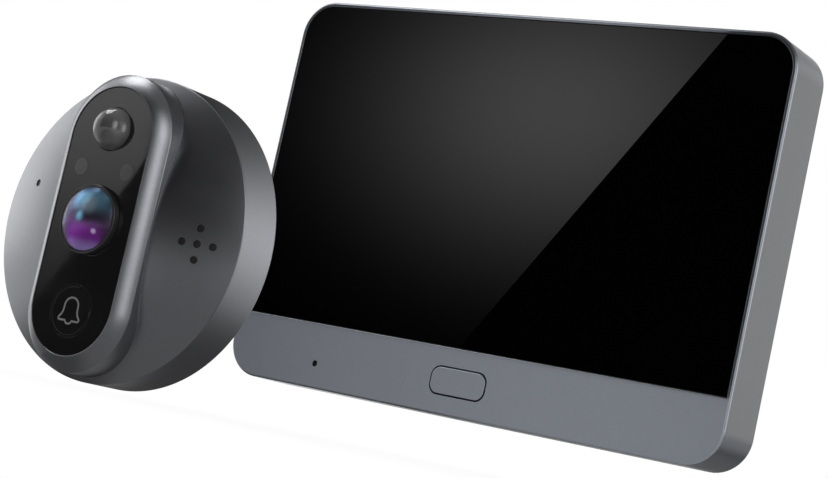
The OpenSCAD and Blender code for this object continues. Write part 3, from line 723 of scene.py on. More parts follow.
def shell_profile(station):
    """Points and normals of one station, from the window's ledge out and back inside."""
    rows = []

    def add(reach, z, outwards, up):
        rows.append((station.point(reach, z), station.normal(outwards, up).normalized()))

    def add_round(radius, z, outwards, up):
        reach = station.reach_of(radius)
        x, y = station.at(reach)
        normal = head_turn(outwards * x / radius, outwards * y / radius, up).normalized()
        rows.append((station.point(reach, z), normal))

    # Pocket wall and bezel
    add(POCKET, LEDGE, -1, 0)
    for row in bezel_rows():
        add(*row)

    # Hollow foot between the wall and the dome
    foot_z = dome_height(*station.at(WALL_AT))
    slope = (dome_height(*station.at(WALL_AT + FOOT_AHEAD)) - foot_z) / FOOT_AHEAD
    length = math.hypot(1.0, slope)
    centre_z = foot_z + slope * FOOT_ROUND + FOOT_ROUND * length
    lowest = math.degrees(math.atan2(-1.0, slope))
    hollow = arc((WALL_AT + FOOT_ROUND, centre_z), FOOT_ROUND, -180, lowest, FOOT_STEPS)
    for x, z in hollow:
        add(x, z, (WALL_AT + FOOT_ROUND - x) / FOOT_ROUND, (centre_z - z) / FOOT_ROUND)

    # Domed front
    x, y = station.at(hollow[-1][0])
    start = math.hypot(x, y)
    fall = math.atan2(HEAD_R, -DOME_Z)
    trim = RIM_ROUND * math.tan((math.pi / 2 - fall) / 2)
    end = HEAD_R - trim * math.cos(fall)
    for i in range(1, DOME_ROWS + 1):
        radius = start + (end - start) * i / DOME_ROWS
        z = dome_height(radius, 0.0)
        add_round(radius, z, radius / DOME_R, (z - DOME_Z) / DOME_R)

    # Rounded rim, side band and rear edge
    for row in arc_rows((HEAD_R - RIM_ROUND, -trim), RIM_ROUND, 90 - math.degrees(fall), 0, RIM_STEPS)[1:]:
        add_round(*row)
    band_end = REAR_ROUND - BAND_DEPTH
    for i in range(1, BAND_ROWS + 1):
        add_round(HEAD_R, -trim + (band_end + trim) * i / BAND_ROWS, 1, 0)
    for row in arc_rows((HEAD_R - REAR_ROUND, band_end), REAR_ROUND, 0, -90, REAR_STEPS)[1:]:
        add_round(*row)

    # Inside of the shell
    inner = HEAD_R - SHELL_WALL
    add_round(inner + INNER_EDGE, -BAND_DEPTH, 0, -1)
    add_round(inner, -BAND_DEPTH + INNER_EDGE, -1, 0)
    add_round(inner, dome_height(inner, 0.0, SHELL_WALL), -1, 0)
    x, y = station.at(HOLLOW_AT)
    hollow_r = math.hypot(x, y)
    for i in range(1, INSIDE_ROWS + 1):
        radius = inner + (hollow_r - inner) * i / INSIDE_ROWS
        z = dome_height(radius, 0.0, SHELL_WALL)
        add_round(radius, z, -radius / DOME_R, -(z - DOME_Z) / DOME_R)
    add(HOLLOW_AT, LEDGE_UNDER, -1, 0)
    add(LEDGE_IN, LEDGE_UNDER, 0, -1)
    add(LEDGE_IN, LEDGE, -1, 0)
    return rows


def sound_holes():
    x, y = SOUND_AT
    return [(x + dx * SOUND_PITCH, y + dy * SOUND_PITCH) for dx, dy in SOUND_CROSS] + [MIC_AT]


def hole_cutters():
    work = bmesh.new()
    turn = Matrix.Rotation(math.radians(90), 4, "X")
    for x, y in sound_holes():
        place = Matrix.Translation(on_head(x, y, SOUND_CUT_AT)) @ turn
        bmesh.ops.create_cone(
            work, cap_ends=True, segments=SOUND_SIDES, radius1=SOUND_R * MM, radius2=SOUND_R * MM,
            depth=SOUND_CUT_L * MM, matrix=place)
    mesh = bpy.data.meshes.new("sound_hole_cutters")
    work.to_mesh(mesh)
    work.free()
    return mesh


def make_head_shell():
    stations = [shell_profile(s) for s in head_stations()]
    rows = len(stations[0])
    points = [row[0] for station in stations for row in station]
    normals = [row[1] for station in stations for row in station]
    faces = []
    for i in range(len(stations)):
        j = (i + 1) % len(stations)
        for k in range(rows):
            m = (k + 1) % rows
            faces.append((i * rows + k, i * rows + m, j * rows + m, j * rows + k))
    mesh = mesh_of("head_shell_solid", points, faces)
    outward(mesh)
    cut = cut_away(mesh, hole_cutters())
    smooth(cut, SHELL_SMOOTH_UNDER)

    # Exact normals on the turned faces, plain ones inside the sound holes
    known = {tuple(round(c, 8) for c in p): n for p, n in zip(points, normals)}
    centre = on_head(0, 0, DOME_Z)
    exact = []
    for face in cut.polygons:
        for loop in face.loop_indices:
            corner = cut.vertices[cut.loops[loop].vertex_index].co
            normal = known.get(tuple(round(c, 8) for c in corner))
            if normal is None and abs((corner - centre).length - DOME_R * MM) < TOUCHING:
                normal = (corner - centre).normalized()
            fits = normal is not None and normal.dot(face.normal) > SAME_SIDE
            exact.append(tuple(normal) if fits else (0.0, 0.0, 0.0))
    cut.normals_split_custom_set(exact)
    return add_piece("head_shell_finished", cut, "door_side", "grey_paint", head_paint, "head_shell")


# Lens, sensors and bell button, in millimetres
LENS_SUNK = 0.2
LENS_RING_W, LENS_RING_ROUND, LENS_RING_STEP = 0.3, 0.15, 0.05
LENS_CLEAR, LENS_COVER_T, LENS_GAP = 0.03, 0.25, 0.08
LENS_CUP_T, LENS_CUP_GAP, LENS_SEAT = 0.35, 0.02, 0.05
COVER_STEPS, COVER_INNER_STEPS = 26, 22


def sphere_profile(sphere, top, radius, steps):
    """Profile of a sphere's cap of a given radius, from its edge to its top."""
    rim = math.degrees(math.acos(radius / sphere))
    return arc((0.0, top - sphere), sphere, rim, 90.0, steps)[:-1] + [(0.0, top)]


def make_lens():
    """Clear cover in a ring, with a coated element in a black cup close under it."""
    centre = on_head(0, 0, 0)
    low, bore = LEDGE - LENS_SUNK, LENS_R - LENS_RING_W
    cover_r = bore - LENS_CLEAR
    sphere, top = cap_sphere(cover_r, LENS_TOP - LENS_EDGE), LENS_TOP
    outer = sphere_profile(sphere, top, cover_r, COVER_STEPS)
    inner = sphere_profile(
        sphere - LENS_COVER_T, top - LENS_COVER_T, cover_r - LENS_COVER_T, COVER_INNER_STEPS)
    cover_low = inner[0][1]
    cover = lathe("lens_cover", inner[::-1] + [(cover_r, cover_low)] + outer, centre)
    add_piece("lens_cover", cover, "door_side", "lens_glass", lens_cover_glass, "camera_lens")

    round_at = (LENS_R - LENS_RING_ROUND, LENS_EDGE - LENS_RING_ROUND)
    ring = [(bore, low), (LENS_R, low)] + arc(round_at, LENS_RING_ROUND, 0, 90, 4)
    ring.append((bore, LENS_EDGE - LENS_RING_STEP))
    add_piece("lens_ring", lathe("lens_ring", ring, centre), "door_side", "dark_plastic", button_black)

    under = LENS_COVER_T + LENS_GAP
    element_r, cup_floor = cover_r - under, low + LENS_CUP_T
    element = [(0.0, cup_floor + LENS_SEAT), (element_r, cup_floor + LENS_SEAT)]
    element += sphere_profile(sphere - under, top - under, element_r, COVER_STEPS)
    add_piece("lens_element", lathe("lens_element", element, centre), "door_side", "lens_glass", lens_coating_and_reflections)

    cup_r, cup_top = element_r + LENS_CLEAR, cover_low - LENS_CUP_GAP
    cup = [(0.0, low), (cover_r, low), (cover_r, cup_top), (cup_r, cup_top), (cup_r, cup_floor),
           (0.0, cup_floor)]
    add_piece("lens_baffle", lathe("lens_baffle", cup, centre), "door_side", "dark_plastic", baffle_black)


PIR_FLANGE_W, PIR_FLANGE_LOW, PIR_FLANGE_TOP = 0.6, 0.8, 0.05
PIR_EDGE = 0.1
PIR_RINGS, PIR_SIDES = 40, 96
FACET_RINGS, FACET_DEPTH, FACET_CREST = 3, 0.012, 3.0
INNER_FACETS, OUTER_FACETS = 6, 12
PIR_SMOOTH_UNDER = 35.0


def facet_line(ring, angle):
    """How deep the line between two lens facets is at a place of the dome."""
    if ring == 0:
        return 0.0
    inmost = ring > PIR_RINGS * (FACET_RINGS - 1) / FACET_RINGS
    facets = INNER_FACETS if inmost else OUTER_FACETS
    from_ring = abs(math.sin(math.pi * FACET_RINGS * ring / PIR_RINGS))
    from_spoke = abs(math.sin(facets / 2 * angle))
    return FACET_DEPTH * (1 - min(1.0, FACET_CREST * from_ring * from_spoke))


def make_motion_sensor():
    """Dome with shallow lens facets pressed into it, on a flange behind the window."""
    sphere = cap_sphere(PIR_R, PIR_TOP - WINDOW_FACE)
    widest = math.asin(PIR_R / sphere)
    low, flange, wide = LEDGE - PIR_FLANGE_LOW, LEDGE - PIR_FLANGE_TOP, PIR_R + PIR_FLANGE_W
    foot = [(wide, low), (wide, flange), (PIR_R, flange), (PIR_R, WINDOW_FACE - PIR_EDGE)]
    angles = [2 * math.pi * i / PIR_SIDES for i in range(PIR_SIDES)]

    def ring_point(radius, angle, height):
        return on_head(radius * math.cos(angle), PIR_Y + radius * math.sin(angle), height)

    points = [ring_point(radius, angle, height) for radius, height in foot for angle in angles]
    for ring in range(PIR_RINGS):
        tilt = widest * (1 - ring / PIR_RINGS)
        for angle in angles:
            reach = sphere - facet_line(ring, angle)
            points.append(ring_point(
                reach * math.sin(tilt), angle, PIR_TOP - sphere + reach * math.cos(tilt)))
    top, last = len(points), len(points) - PIR_SIDES
    points += [on_head(0, PIR_Y, PIR_TOP), on_head(0, PIR_Y, low)]
    faces = []
    for i in range(PIR_SIDES):
        j = (i + 1) % PIR_SIDES
        for row in range(0, last, PIR_SIDES):
            faces.append((row + i, row + j, row + PIR_SIDES + j, row + PIR_SIDES + i))
        faces += [(last + i, last + j, top), (j, i, top + 1)]
    mesh = mesh_of("sensor_dome", points, faces)
    outward(mesh)
    smooth(mesh, PIR_SMOOTH_UNDER)
    add_piece("sensor_dome", mesh, "door_side", "sensor_lens", sensor_plastic, "pir_lens")


IR_X, IR_Y, IR_R = 6.0, 10.2, 1.4
IR_FLANGE_W, IR_FLANGE_AT = 0.5, 0.4
# Thin lip on the window: reach past the emitter and height over the window's face
IR_LIP = ((0.0, 0.005), (0.3, 0.005), (0.3, 0.02), (0.26, 0.03), (0.22, 0.03))


def make_emitters():
    low, wide, flange = (RIM_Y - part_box("ir_leds")[1].y) / MM, IR_R + IR_FLANGE_W, LEDGE - IR_FLANGE_AT
    profile = [(0.0, low), (wide, low), (wide, flange), (IR_R, flange)]
    profile += [(IR_R + reach, WINDOW_FACE + height) for reach, height in IR_LIP]
    profile.append((0.0, WINDOW_FACE + IR_LIP[-1][1]))
    for side, name, stands_for in ((-1, "emitter_left", ["ir_leds"]), (1, "emitter_right", [])):
        mesh = lathe(name, profile, on_head(side * IR_X, IR_Y, 0), segments=40)
        add_piece(name, mesh, "door_side", "smoked_plastic", smoked, *stands_for)


BELL_Y, BELL_R, BELL_STEM_R = -18.0, 4.75, 1.6
BELL_FLANGE_W, BELL_FLANGE_T, BELL_FLANGE_AT = 0.75, 0.8, 0.7
BELL_EDGE, BELL_LAND = 0.02, 0.08
DISH, DISH_STEPS = 0.05, 10
SIGN_W, SIGN_SUNK, SIGN_PROUD = 0.4, 0.03, 0.02
CROWN_W, CROWN_H, CROWN_AT, CROWN_STEPS = 1.75, 1.6, 0.95, 8
# Right side of the bell sign from under its crown to the clapper's lowest point
BELL_SIDE = [(1.78, 0.35), (1.85, -0.3), (2.1, -0.85), (2.5, -1.3), (2.72, -1.62), (2.62, -1.92), (2.3, -2.0)]
CLAPPER_SIDE = [(0.85, -2.0), (0.72, -2.3), (0.42, -2.52), (0.0, -2.6)]


def dished(radius):
    """Height of the button's dished face at a radius."""
    inwards = 1 - min(1.0, radius / BELL_R)
    return WINDOW_FACE - DISH * math.sin(math.pi / 2 * inwards) ** 2


def make_bell_button():
    stem, flange = (RIM_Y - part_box("bell_button")[1].y) / MM, LEDGE - BELL_FLANGE_AT
    under, wide = flange - BELL_FLANGE_T, BELL_R + BELL_FLANGE_W
    profile = [(0.0, stem), (BELL_STEM_R, stem), (BELL_STEM_R, under), (wide, under), (wide, flange),
               (BELL_R, flange)]
    profile += arc((BELL_R - BELL_EDGE, WINDOW_FACE - BELL_EDGE), BELL_EDGE, 0, 90, 4)
    profile.append((BELL_R - BELL_LAND, WINDOW_FACE))
    radii = [BELL_R * (1 - i / DISH_STEPS) for i in range(1, DISH_STEPS)] + [0.0]
    profile += [(radius, dished(radius)) for radius in radii]
    mesh = lathe("bell_button", profile, on_head(0, BELL_Y, 0))
    add_piece("bell_button_finished", mesh, "bell_push", "gloss_black", button_black, "bell_button")


def bell_outline():
    """Closed outline of the bell sign about the button's centre."""
    turns = [math.radians(90 - 90 * i / CROWN_STEPS) for i in range(CROWN_STEPS + 1)]
    crown = [(CROWN_W * math.cos(turn), CROWN_AT + CROWN_H * math.sin(turn)) for turn in turns]
    right = crown + BELL_SIDE + CLAPPER_SIDE
    return right + [(-x, y) for x, y in right[-2:0:-1]]


def make_bell_sign():
    """A thin raised line along the bell's outline, on the button's dished face."""
    outline = bell_outline()
    count = len(outline)
    points, faces = [], []
    for i, (x, y) in enumerate(outline):
        along = (Vector(outline[(i + 1) % count]) - Vector(outline[i - 1])).normalized()
        side = Vector((along.y, -along.x)) * SIGN_W / 2
        for offset in (side, -side):
            px, py = x + offset.x, y + offset.y
            face = dished(math.hypot(px, py))
            heights = (face - SIGN_SUNK, face + SIGN_PROUD)
            points += [on_head(px, BELL_Y + py, height) for height in heights]
        a, b = 4 * i, 4 * ((i + 1) % count)
        faces += [
            (a + 1, b + 1, b + 3, a + 3),
            (a, a + 2, b + 2, b),
            (a, b, b + 1, a + 1),
            (a + 2, a + 3, b + 3, b + 2),
        ]
    sign = mesh_of("bell_sign", points, faces)
    outward(sign)
    smooth(sign, 40.0)
    add_piece("bell_sign", sign, "bell_push", "light_guide", print_grey)


# Solids that only get rounded edges: edge in millimetres, steps, body, slot and finish
ROUNDED = {
    "head_window": (0.05, 2, "door_side", "gloss_black", window_black),
    "bell_ring": (0.01, 2, "door_side", "light_guide", light_guide),
    "head_socket": (0.1, 2, "door_side", "socket_plastic", ivory),
    "head_base": (0.2, 3, "door_side", "rear_plastic", rear_plastic),
    "head_gasket": (0.25, 3, "door_side", "foam", gasket_foam),
    "hook_bracket": (0.15, 2, "door_side", "bracket_steel", zinc),
    "monitor_frame": (0.18, 3, "monitor", "grey_paint", paint),
    "screen_glass": (0.08, 2, "monitor", "screen_black", screen_black),
    "home_button": (0.22, 3, "home_push", "grey_paint", paint),
    "rear_cover": (0.15, 2, "monitor", "rear_plastic", rear_plastic),
    "usb_socket": (0.06, 2, "monitor", "plated_steel", plated),
    "card_socket": (0.05, 2, "monitor", "plated_steel", plated),
    "cable_socket": (0.1, 2, "monitor", "socket_plastic", ivory),
    "power_knob": (0.15, 3, "power_slider", "dark_plastic", dark_plastic),
}


def make_rounded_pieces():
    for node, (edge, steps, body, slot, finish) in ROUNDED.items():
        add_piece(node + "_finished", softened(node, edge, steps), body, slot, finish, node)


# Repeated pieces, made by geometry nodes
SPIN_SEED = 7
HEAD_TAPER = 0.86
GROWN_SMOOTH_UNDER = 30.0


def new_shape_tree(name, sizes):
    """Geometry tree with named sizes that stands one shape on each given point."""
    tree = bpy.data.node_groups.new(name, "GeometryNodeTree")
    tree.interface.new_socket("Points", in_out="INPUT", socket_type="NodeSocketGeometry")
    for label, value in sizes.items():
        socket = tree.interface.new_socket(label, in_out="INPUT", socket_type="NodeSocketFloat")
        socket.default_value = value
    tree.interface.new_socket("Finish", in_out="INPUT", socket_type="NodeSocketMaterial")
    tree.interface.new_socket("Shape", in_out="OUTPUT", socket_type="NodeSocketGeometry")
    return tree, tree.nodes.new("NodeGroupInput").outputs, tree.nodes.new("NodeGroupOutput").inputs


def put(tree, kind, inputs, **settings):
    """Adds a node, with its inputs by number or name, and returns its first output."""
    node = tree.nodes.new(kind)
    for label, value in settings.items():
        setattr(node, label, value)
    for label, values in inputs.items():
        for value in values if isinstance(values, list) else [values]:
            if hasattr(value, "is_output"):
                join(tree, value, node.inputs[label])
            else:
                node.inputs[label].default_value = value
    return node.outputs[0]


def times(tree, value, factor):
    return put(tree, "ShaderNodeMath", {0: value, 1: factor}, operation="MULTIPLY")


def vector(tree, x=0.0, y=0.0, z=0.0):
    return put(tree, "ShaderNodeCombineXYZ", {"X": x, "Y": y, "Z": z})


def moved(tree, shape, offset):
    return put(tree, "GeometryNodeTransform", {"Geometry": shape, "Translation": offset})


def random_number(tree, low, high):
    node = tree.nodes.new("FunctionNodeRandomValue")
    node.data_type = "FLOAT"
    node.inputs[2].default_value, node.inputs[3].default_value = low, high
    node.inputs["Seed"].default_value = SPIN_SEED
    return node.outputs[1]


def stand_on_points(tree, given, out, shape, turn, spin=0.0):
    """Ends a tree: shapes on the points, turned and spun by up to spin, made real, with the finish."""
    placed = put(tree, "GeometryNodeInstanceOnPoints", {
        "Points": given["Points"], "Instance": shape, "Rotation": turn})
    angle = random_number(tree, -spin, spin)
    spun = put(tree, "GeometryNodeRotateInstances", {
        "Instances": placed, "Rotation": vector(tree, z=angle)})
    real = put(tree, "GeometryNodeRealizeInstances", {"Geometry": spun})
    coloured = put(tree, "GeometryNodeSetMaterial", {"Geometry": real, "Material": given["Finish"]})
    join(tree, coloured, out["Shape"])
    return tree


def screw_tree():
    tree, given, out = new_shape_tree("cross_recess_screws", {
        "Head Radius": 0.002, "Head Height": 0.001, "Shank Radius": 0.00075, "Length": 0.008,
        "Recess Reach": 0.0013, "Recess Width": 0.00045, "Recess Depth": 0.0006,
    })
    head_h, length, half_head = given["Head Height"], given["Length"], times(tree, given["Head Height"], 0.5)
    head = put(tree, "GeometryNodeMeshCone", {
        "Vertices": 40, "Radius Top": times(tree, given["Head Radius"], HEAD_TAPER),
        "Radius Bottom": given["Head Radius"], "Depth": head_h})
    head = moved(tree, head, vector(tree, z=times(tree, head_h, -1.0)))
    shank_l = put(tree, "ShaderNodeMath", {0: length, 1: half_head}, operation="SUBTRACT")
    shank = put(tree, "GeometryNodeMeshCylinder", {
        "Vertices": 20, "Radius": given["Shank Radius"], "Depth": shank_l})
    twice_middle = put(tree, "ShaderNodeMath", {0: length, 1: half_head}, operation="ADD")
    shank = moved(tree, shank, vector(tree, z=times(tree, twice_middle, -0.5)))
    body = put(tree, "GeometryNodeMeshBoolean", {1: [head, shank]}, operation="UNION")
    reach, width = times(tree, given["Recess Reach"], 2.0), given["Recess Width"]
    depth = times(tree, given["Recess Depth"], 2.0)
    bars = [put(tree, "GeometryNodeMeshCube", {"Size": vector(tree, reach, width, depth)}),
            put(tree, "GeometryNodeMeshCube", {"Size": vector(tree, width, reach, depth)})]
    screw = put(tree, "GeometryNodeMeshBoolean", {0: body, 1: bars}, operation="DIFFERENCE")
    return stand_on_points(tree, given, out, screw, (math.radians(-90), 0.0, 0.0), math.pi)


def thread_tree():
    tree, given, out = new_shape_tree("inner_threads", {
        "Radius": 0.00125, "Pitch": 0.00045, "Length": 0.0102, "Depth": 0.00014,
    })
    turns = put(tree, "ShaderNodeMath", {0: given["Length"], 1: given["Pitch"]}, operation="DIVIDE")
    path = put(tree, "GeometryNodeCurveSpiral", {
        "Resolution": 28, "Rotations": turns, "Height": given["Length"],
        "Start Radius": given["Radius"], "End Radius": given["Radius"]})
    ridge = put(tree, "GeometryNodeCurvePrimitiveCircle", {"Resolution": 3, "Radius": given["Depth"]})
    thread = put(tree, "GeometryNodeCurveToMesh", {
        "Curve": path, "Profile Curve": ridge, "Fill Caps": True})
    return stand_on_points(tree, given, out, thread, (math.radians(90), 0.0, 0.0))


def rib_tree():
    tree, given, out = new_shape_tree("grip_ribs", {"Radius": 0.00016, "Length": 0.0016})
    rib = put(tree, "GeometryNodeMeshCylinder", {
        "Vertices": 14, "Radius": given["Radius"], "Depth": given["Length"]})
    return stand_on_points(tree, given, out, rib, (math.radians(90), 0.0, 0.0))


def contact_tree():
    tree, given, out = new_shape_tree("socket_contacts", {
        "Width": 0.0003, "Height": 0.0008, "Length": 0.0015})
    blade = put(tree, "GeometryNodeMeshCube", {
        "Size": vector(tree, given["Width"], given["Length"], given["Height"]), "Vertices Y": 4})
    return stand_on_points(tree, given, out, blade, (0.0, 0.0, 0.0))


def shade_mesh_disc_tree():
    tree, given, out = new_shape_tree("sound_mesh_shade_discs", {"Radius": 0.00072, "Depth": 0.0006})
    disc = put(tree, "GeometryNodeMeshCylinder", {
        "Vertices": SOUND_SIDES, "Radius": given["Radius"], "Depth": given["Depth"]})
    here, dome_centre = put(tree, "GeometryNodeInputPosition", {}), tuple(on_head(0, 0, DOME_Z))
    outwards = put(tree, "ShaderNodeVectorMath", {0: here, 1: dome_centre}, operation="SUBTRACT")
    turn = put(tree, "FunctionNodeAlignRotationToVector", {"Vector": outwards}, axis="Z")
    return stand_on_points(tree, given, out, disc, turn)


SCREWS, THREADS, RIBS, CONTACTS = screw_tree(), thread_tree(), rib_tree(), contact_tree()
SHADE_MESH_DISCS = shade_mesh_disc_tree()


def grown(tree, points, name, finish, **sizes):
    """Plain mesh of a tree's shape on the given points; sizes are in metres, words joined by _."""
    obj = link_temporary(mesh_of(name + "_points", points, []))
    modifier = obj.modifiers.new("shape", "NODES")
    modifier.node_group = tree
    values = {label.replace("_", " ").title(): value for label, value in sizes.items()}
    values["Finish"] = finish
    for item in tree.interface.items_tree:
        if item.in_out == "INPUT" and item.name in values:
            modifier[item.identifier] = values[item.name]
    mesh = settled_mesh(obj, name)
    smooth(mesh, GROWN_SMOOTH_UNDER)
    return mesh


def solid_boxes(node):
    """Corners of each separate solid of a CAD node, in metres."""
    work = bmesh.new()
    work.from_mesh(nodes[node].data)
    bmesh.ops.remove_doubles(work, verts=work.verts, dist=TOUCHING)
    work.verts.ensure_lookup_table()
    boxes, met = [], [False] * len(work.verts)
    for first in work.verts:
        if met[first.index]:
            continue
        met[first.index] = True
        stack, places = [first], []
        while stack:
            vert = stack.pop()
            places.append(vert.co.copy())
            for edge in vert.link_edges:
                other = edge.other_vert(vert)
                if not met[other.index]:
                    met[other.index] = True
                    stack.append(other)
        boxes.append(tuple(Vector(pick(p[i] for p in places) for i in range(3)) for pick in (min, max)))
    work.free()
    return boxes


def spaced(count, pitch):
    """Even steps about a middle."""
    return [(i - (count - 1) / 2) * pitch for i in range(count)]


# Screws, posts, ribs, contacts and sound mesh, which is also painted shade in the holes, in millimetres
SCREW_INSET = 0.02
POST_L, POST_CHAMFER = 14.0, 0.35
THREAD_R, THREAD_DEPTH, THREAD_START, DRILL_POINT = 1.25, 11.0, 0.4, 0.4
RIVET_R, RIVET_HEAD_T, RIVET_INSET, RIVET_CHAMFER = 1.7, 0.6, 0.05, 0.3
RIB_COUNT, RIB_SHARE, RIB_SUNK = 5, 0.8, 0.1
CONTACT_COUNT, CONTACT_MARGIN, CONTACT_SUNK, CONTACT_DROP = 8, 3.0, 1.5, 0.3
SOUND_MESH_T, SOUND_MESH_SUNK, SOUND_MESH_GAP = 0.4, 0.22, 0.02


def make_screws(node, body):
    boxes = solid_boxes(node)
    low, high = boxes[0]
    points = [((a.x + b.x) / 2, b.y, (a.z + b.z) / 2) for a, b in boxes]
    head_r = (high.x - low.x) / 2 - SCREW_INSET * MM
    mesh = grown(SCREWS, points, node + "_finished", plated, head_radius=head_r, length=high.y - low.y)
    add_piece(node + "_finished", mesh, body, "plated_steel", plated, node)


def post_profile(radius, length):
    """A post from its threaded tip to the riveted head."""
    seat, head_r = length - RIVET_HEAD_T, radius - RIVET_INSET
    return [
        (0.0, THREAD_DEPTH + DRILL_POINT), (THREAD_R, THREAD_DEPTH), (THREAD_R, POST_CHAMFER),
        (THREAD_R + POST_CHAMFER, 0.0), (radius - POST_CHAMFER, 0.0), (radius, POST_CHAMFER),
        (radius, POST_L), (RIVET_R, POST_L), (RIVET_R, seat), (head_r, seat),
        (head_r, length - RIVET_CHAMFER), (head_r - RIVET_CHAMFER, length), (0.0, length),
    ]


def make_posts():
    starts, stands_for = [], ["door_posts"]
    boxes = sorted(solid_boxes("door_posts"), key=lambda box: box[0].x)
    for name, (low, high) in zip(("door_post_left", "door_post_right"), boxes):
        tip = Vector(((low.x + high.x) / 2, high.y, (low.z + high.z) / 2))
        profile = post_profile((high.x - low.x) / 2 / MM, (high.y - low.y) / MM)
        add_piece(name, lathe(name, profile, tip, segments=48), "door_side", "brass", brass, *stands_for)
        stands_for = []
        starts.append(tip - Vector((0, THREAD_START * MM, 0)))
    add_piece("post_threads", grown(THREADS, starts, "post_threads", brass), "door_side", "brass", brass)


def make_knob_ribs():
    low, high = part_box("power_knob")
    middle, pitch = (low + high) / 2, (high.z - low.z) * RIB_SHARE / RIB_COUNT
    points = [(low.x + RIB_SUNK * MM, middle.y, middle.z + step) for step in spaced(RIB_COUNT, pitch)]
    ribs = grown(RIBS, points, "power_knob_ribs", dark_plastic, length=(high.y - low.y) * RIB_SHARE)
    add_piece("power_knob_ribs", ribs, "power_slider", "dark_plastic", dark_plastic)


def make_contacts():
    for node, body in (("head_socket", "door_side"), ("cable_socket", "monitor")):
        low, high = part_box(node)
        middle, pitch = (low + high) / 2, (high.x - low.x - CONTACT_MARGIN * MM) / (CONTACT_COUNT - 1)
        y, z = high.y - CONTACT_SUNK * MM, middle.z - CONTACT_DROP * MM
        points = [(middle.x + step, y, z) for step in spaced(CONTACT_COUNT, pitch)]
        contacts = grown(CONTACTS, points, node + "_contacts", brass)
        add_piece(node + "_contacts", contacts, body, "brass", brass)


def make_sound_mesh_and_shade():
    """Dark woven discs glued in the sound holes, just under the surface: acoustic mesh, and also painted
    shade that keeps the holes dark.
    """
    under = SOUND_MESH_SUNK + SOUND_MESH_T / 2
    points = [on_head(x, y, dome_height(x, y) - under) for x, y in sound_holes()]
    radius = (SOUND_R - SOUND_MESH_GAP) * MM
    discs = grown(SHADE_MESH_DISCS, points, "sound_mesh_and_shade", baffle_black, radius=radius, depth=SOUND_MESH_T * MM)
    add_piece("sound_mesh_and_shade", discs, "door_side", "dark_plastic", baffle_black)


# Plain nodes keep their solids and get a finish
PLAIN_FINISH = {
    "lens_barrel": dark_plastic, "sensor_board": board_green, "pir_sensor": plated,
    "bell_plunger": dark_plastic, "bell_switch": dark_plastic, "head_board": board_green,
    "head_speaker": dark_plastic, "head_microphone": plated, "display_panel": dark_plastic,
    "home_plunger": dark_plastic, "home_switch": dark_plastic, "main_board": board_green,
    "battery_pack": battery_wrap, "monitor_speaker": dark_plastic, "monitor_microphone": plated,
    "power_switch": plated,
}


def finish_plain_nodes():
    for name, material in PLAIN_FINISH.items():
        mesh = nodes[name].data
        mesh.materials.clear()
        mesh.materials.append(material)


# Stage: floor, lights, dark flags and light cards, in metres
FLOOR_Z, FLOOR_REACH = -0.0546, 6.0
FLOOR_PALE, FLOOR_WHITE = (0.84, 0.84, 0.84), (0.88, 0.88, 0.88)
# Share of white near the part, which leaves its shadow, and where the share grows to one
FLOOR_LIFT = 0.965
SHADOW_FROM, SHADOW_TO = 0.09, 0.17
WORLD_FILL = 0.15


def stage_object(name, points, material):
    mesh = mesh_of(name, points, [tuple(range(len(points)))])
    mesh.materials.append(material)
    obj = bpy.data.objects.new(name, mesh)
    bpy.context.scene.collection.objects.link(obj)
    return obj


def stage_material(name):
    material = bpy.data.materials.new(name)
    material.use_nodes = True
    return material, material.node_tree, material.node_tree.nodes["Principled BSDF"]


def mix_shaders(tree, share, first, second):
    node = tree.nodes.new("ShaderNodeMixShader")
    for socket, value in zip(node.inputs, (share, first, second)):
        join(tree, value, socket)
    return node.outputs[0]


def show(tree, surface):
    join(tree, surface, tree.nodes["Material Output"].inputs["Surface"])


def see_through(tree, tint=(1.0, 1.0, 1.0)):
    node = tree.nodes.new("ShaderNodeBsdfTransparent")
    node.inputs["Color"].default_value = (*tint, 1.0)
    return node.outputs[0]


def seen_or_mirrored(tree):
    """One for rays from the camera, a mirror or glass, and nothing for the rest."""
    path = tree.nodes.new("ShaderNodeLightPath").outputs
    seen = math_node(tree, "MAXIMUM", path["Is Camera Ray"], path["Is Glossy Ray"])
    return math_node(tree, "MAXIMUM", seen, path["Is Transmission Ray"])


def make_floor():
    """White floor that keeps the part's shadow and can't be seen from below."""
    material, tree, shader = stage_material("pale_floor")
    shader.inputs["Roughness"].default_value = 0.9
    shader.inputs["Specular IOR Level"].default_value = 0.1
    pale = blend_colours(tree, object_noise(tree, 40.0, 3.0), FLOOR_PALE, FLOOR_WHITE)
    join(tree, pale, shader.inputs["Base Color"])
    far = tree.nodes.new("ShaderNodeVectorMath")
    far.operation = "LENGTH"
    join(tree, tree.nodes.new("ShaderNodeTexCoord").outputs["Object"], far.inputs[0])
    share = smooth_step(tree, far.outputs["Value"], SHADOW_FROM, SHADOW_TO)
    lifted = math_node(tree, "MULTIPLY_ADD", share, 1.0 - FLOOR_LIFT, FLOOR_LIFT)
    lifted = math_node(tree, "MULTIPLY", lifted, seen_or_mirrored(tree))
    white = tree.nodes.new("ShaderNodeEmission").outputs[0]
    floor = mix_shaders(tree, lifted, shader.outputs[0], white)
    below = tree.nodes.new("ShaderNodeNewGeometry").outputs["Backfacing"]
    show(tree, mix_shaders(tree, below, floor, see_through(tree)))
    signs = ((-1, -1), (1, -1), (1, 1), (-1, 1))
    stage_object("floor", [(x * FLOOR_REACH, y * FLOOR_REACH, FLOOR_Z) for x, y in signs], material)


def make_world():
    world = bpy.data.worlds.new("studio")
    bpy.context.scene.world = world
    world.use_nodes = True
    tree = world.node_tree
    strength = math_node(tree, "MULTIPLY_ADD", seen_or_mirrored(tree), 1.0 - WORLD_FILL, WORLD_FILL)
    sky = tree.nodes["Background"]
    sky.inputs["Color"].default_value = (1, 1, 1, 1)
    join(tree, strength, sky.inputs["Strength"])


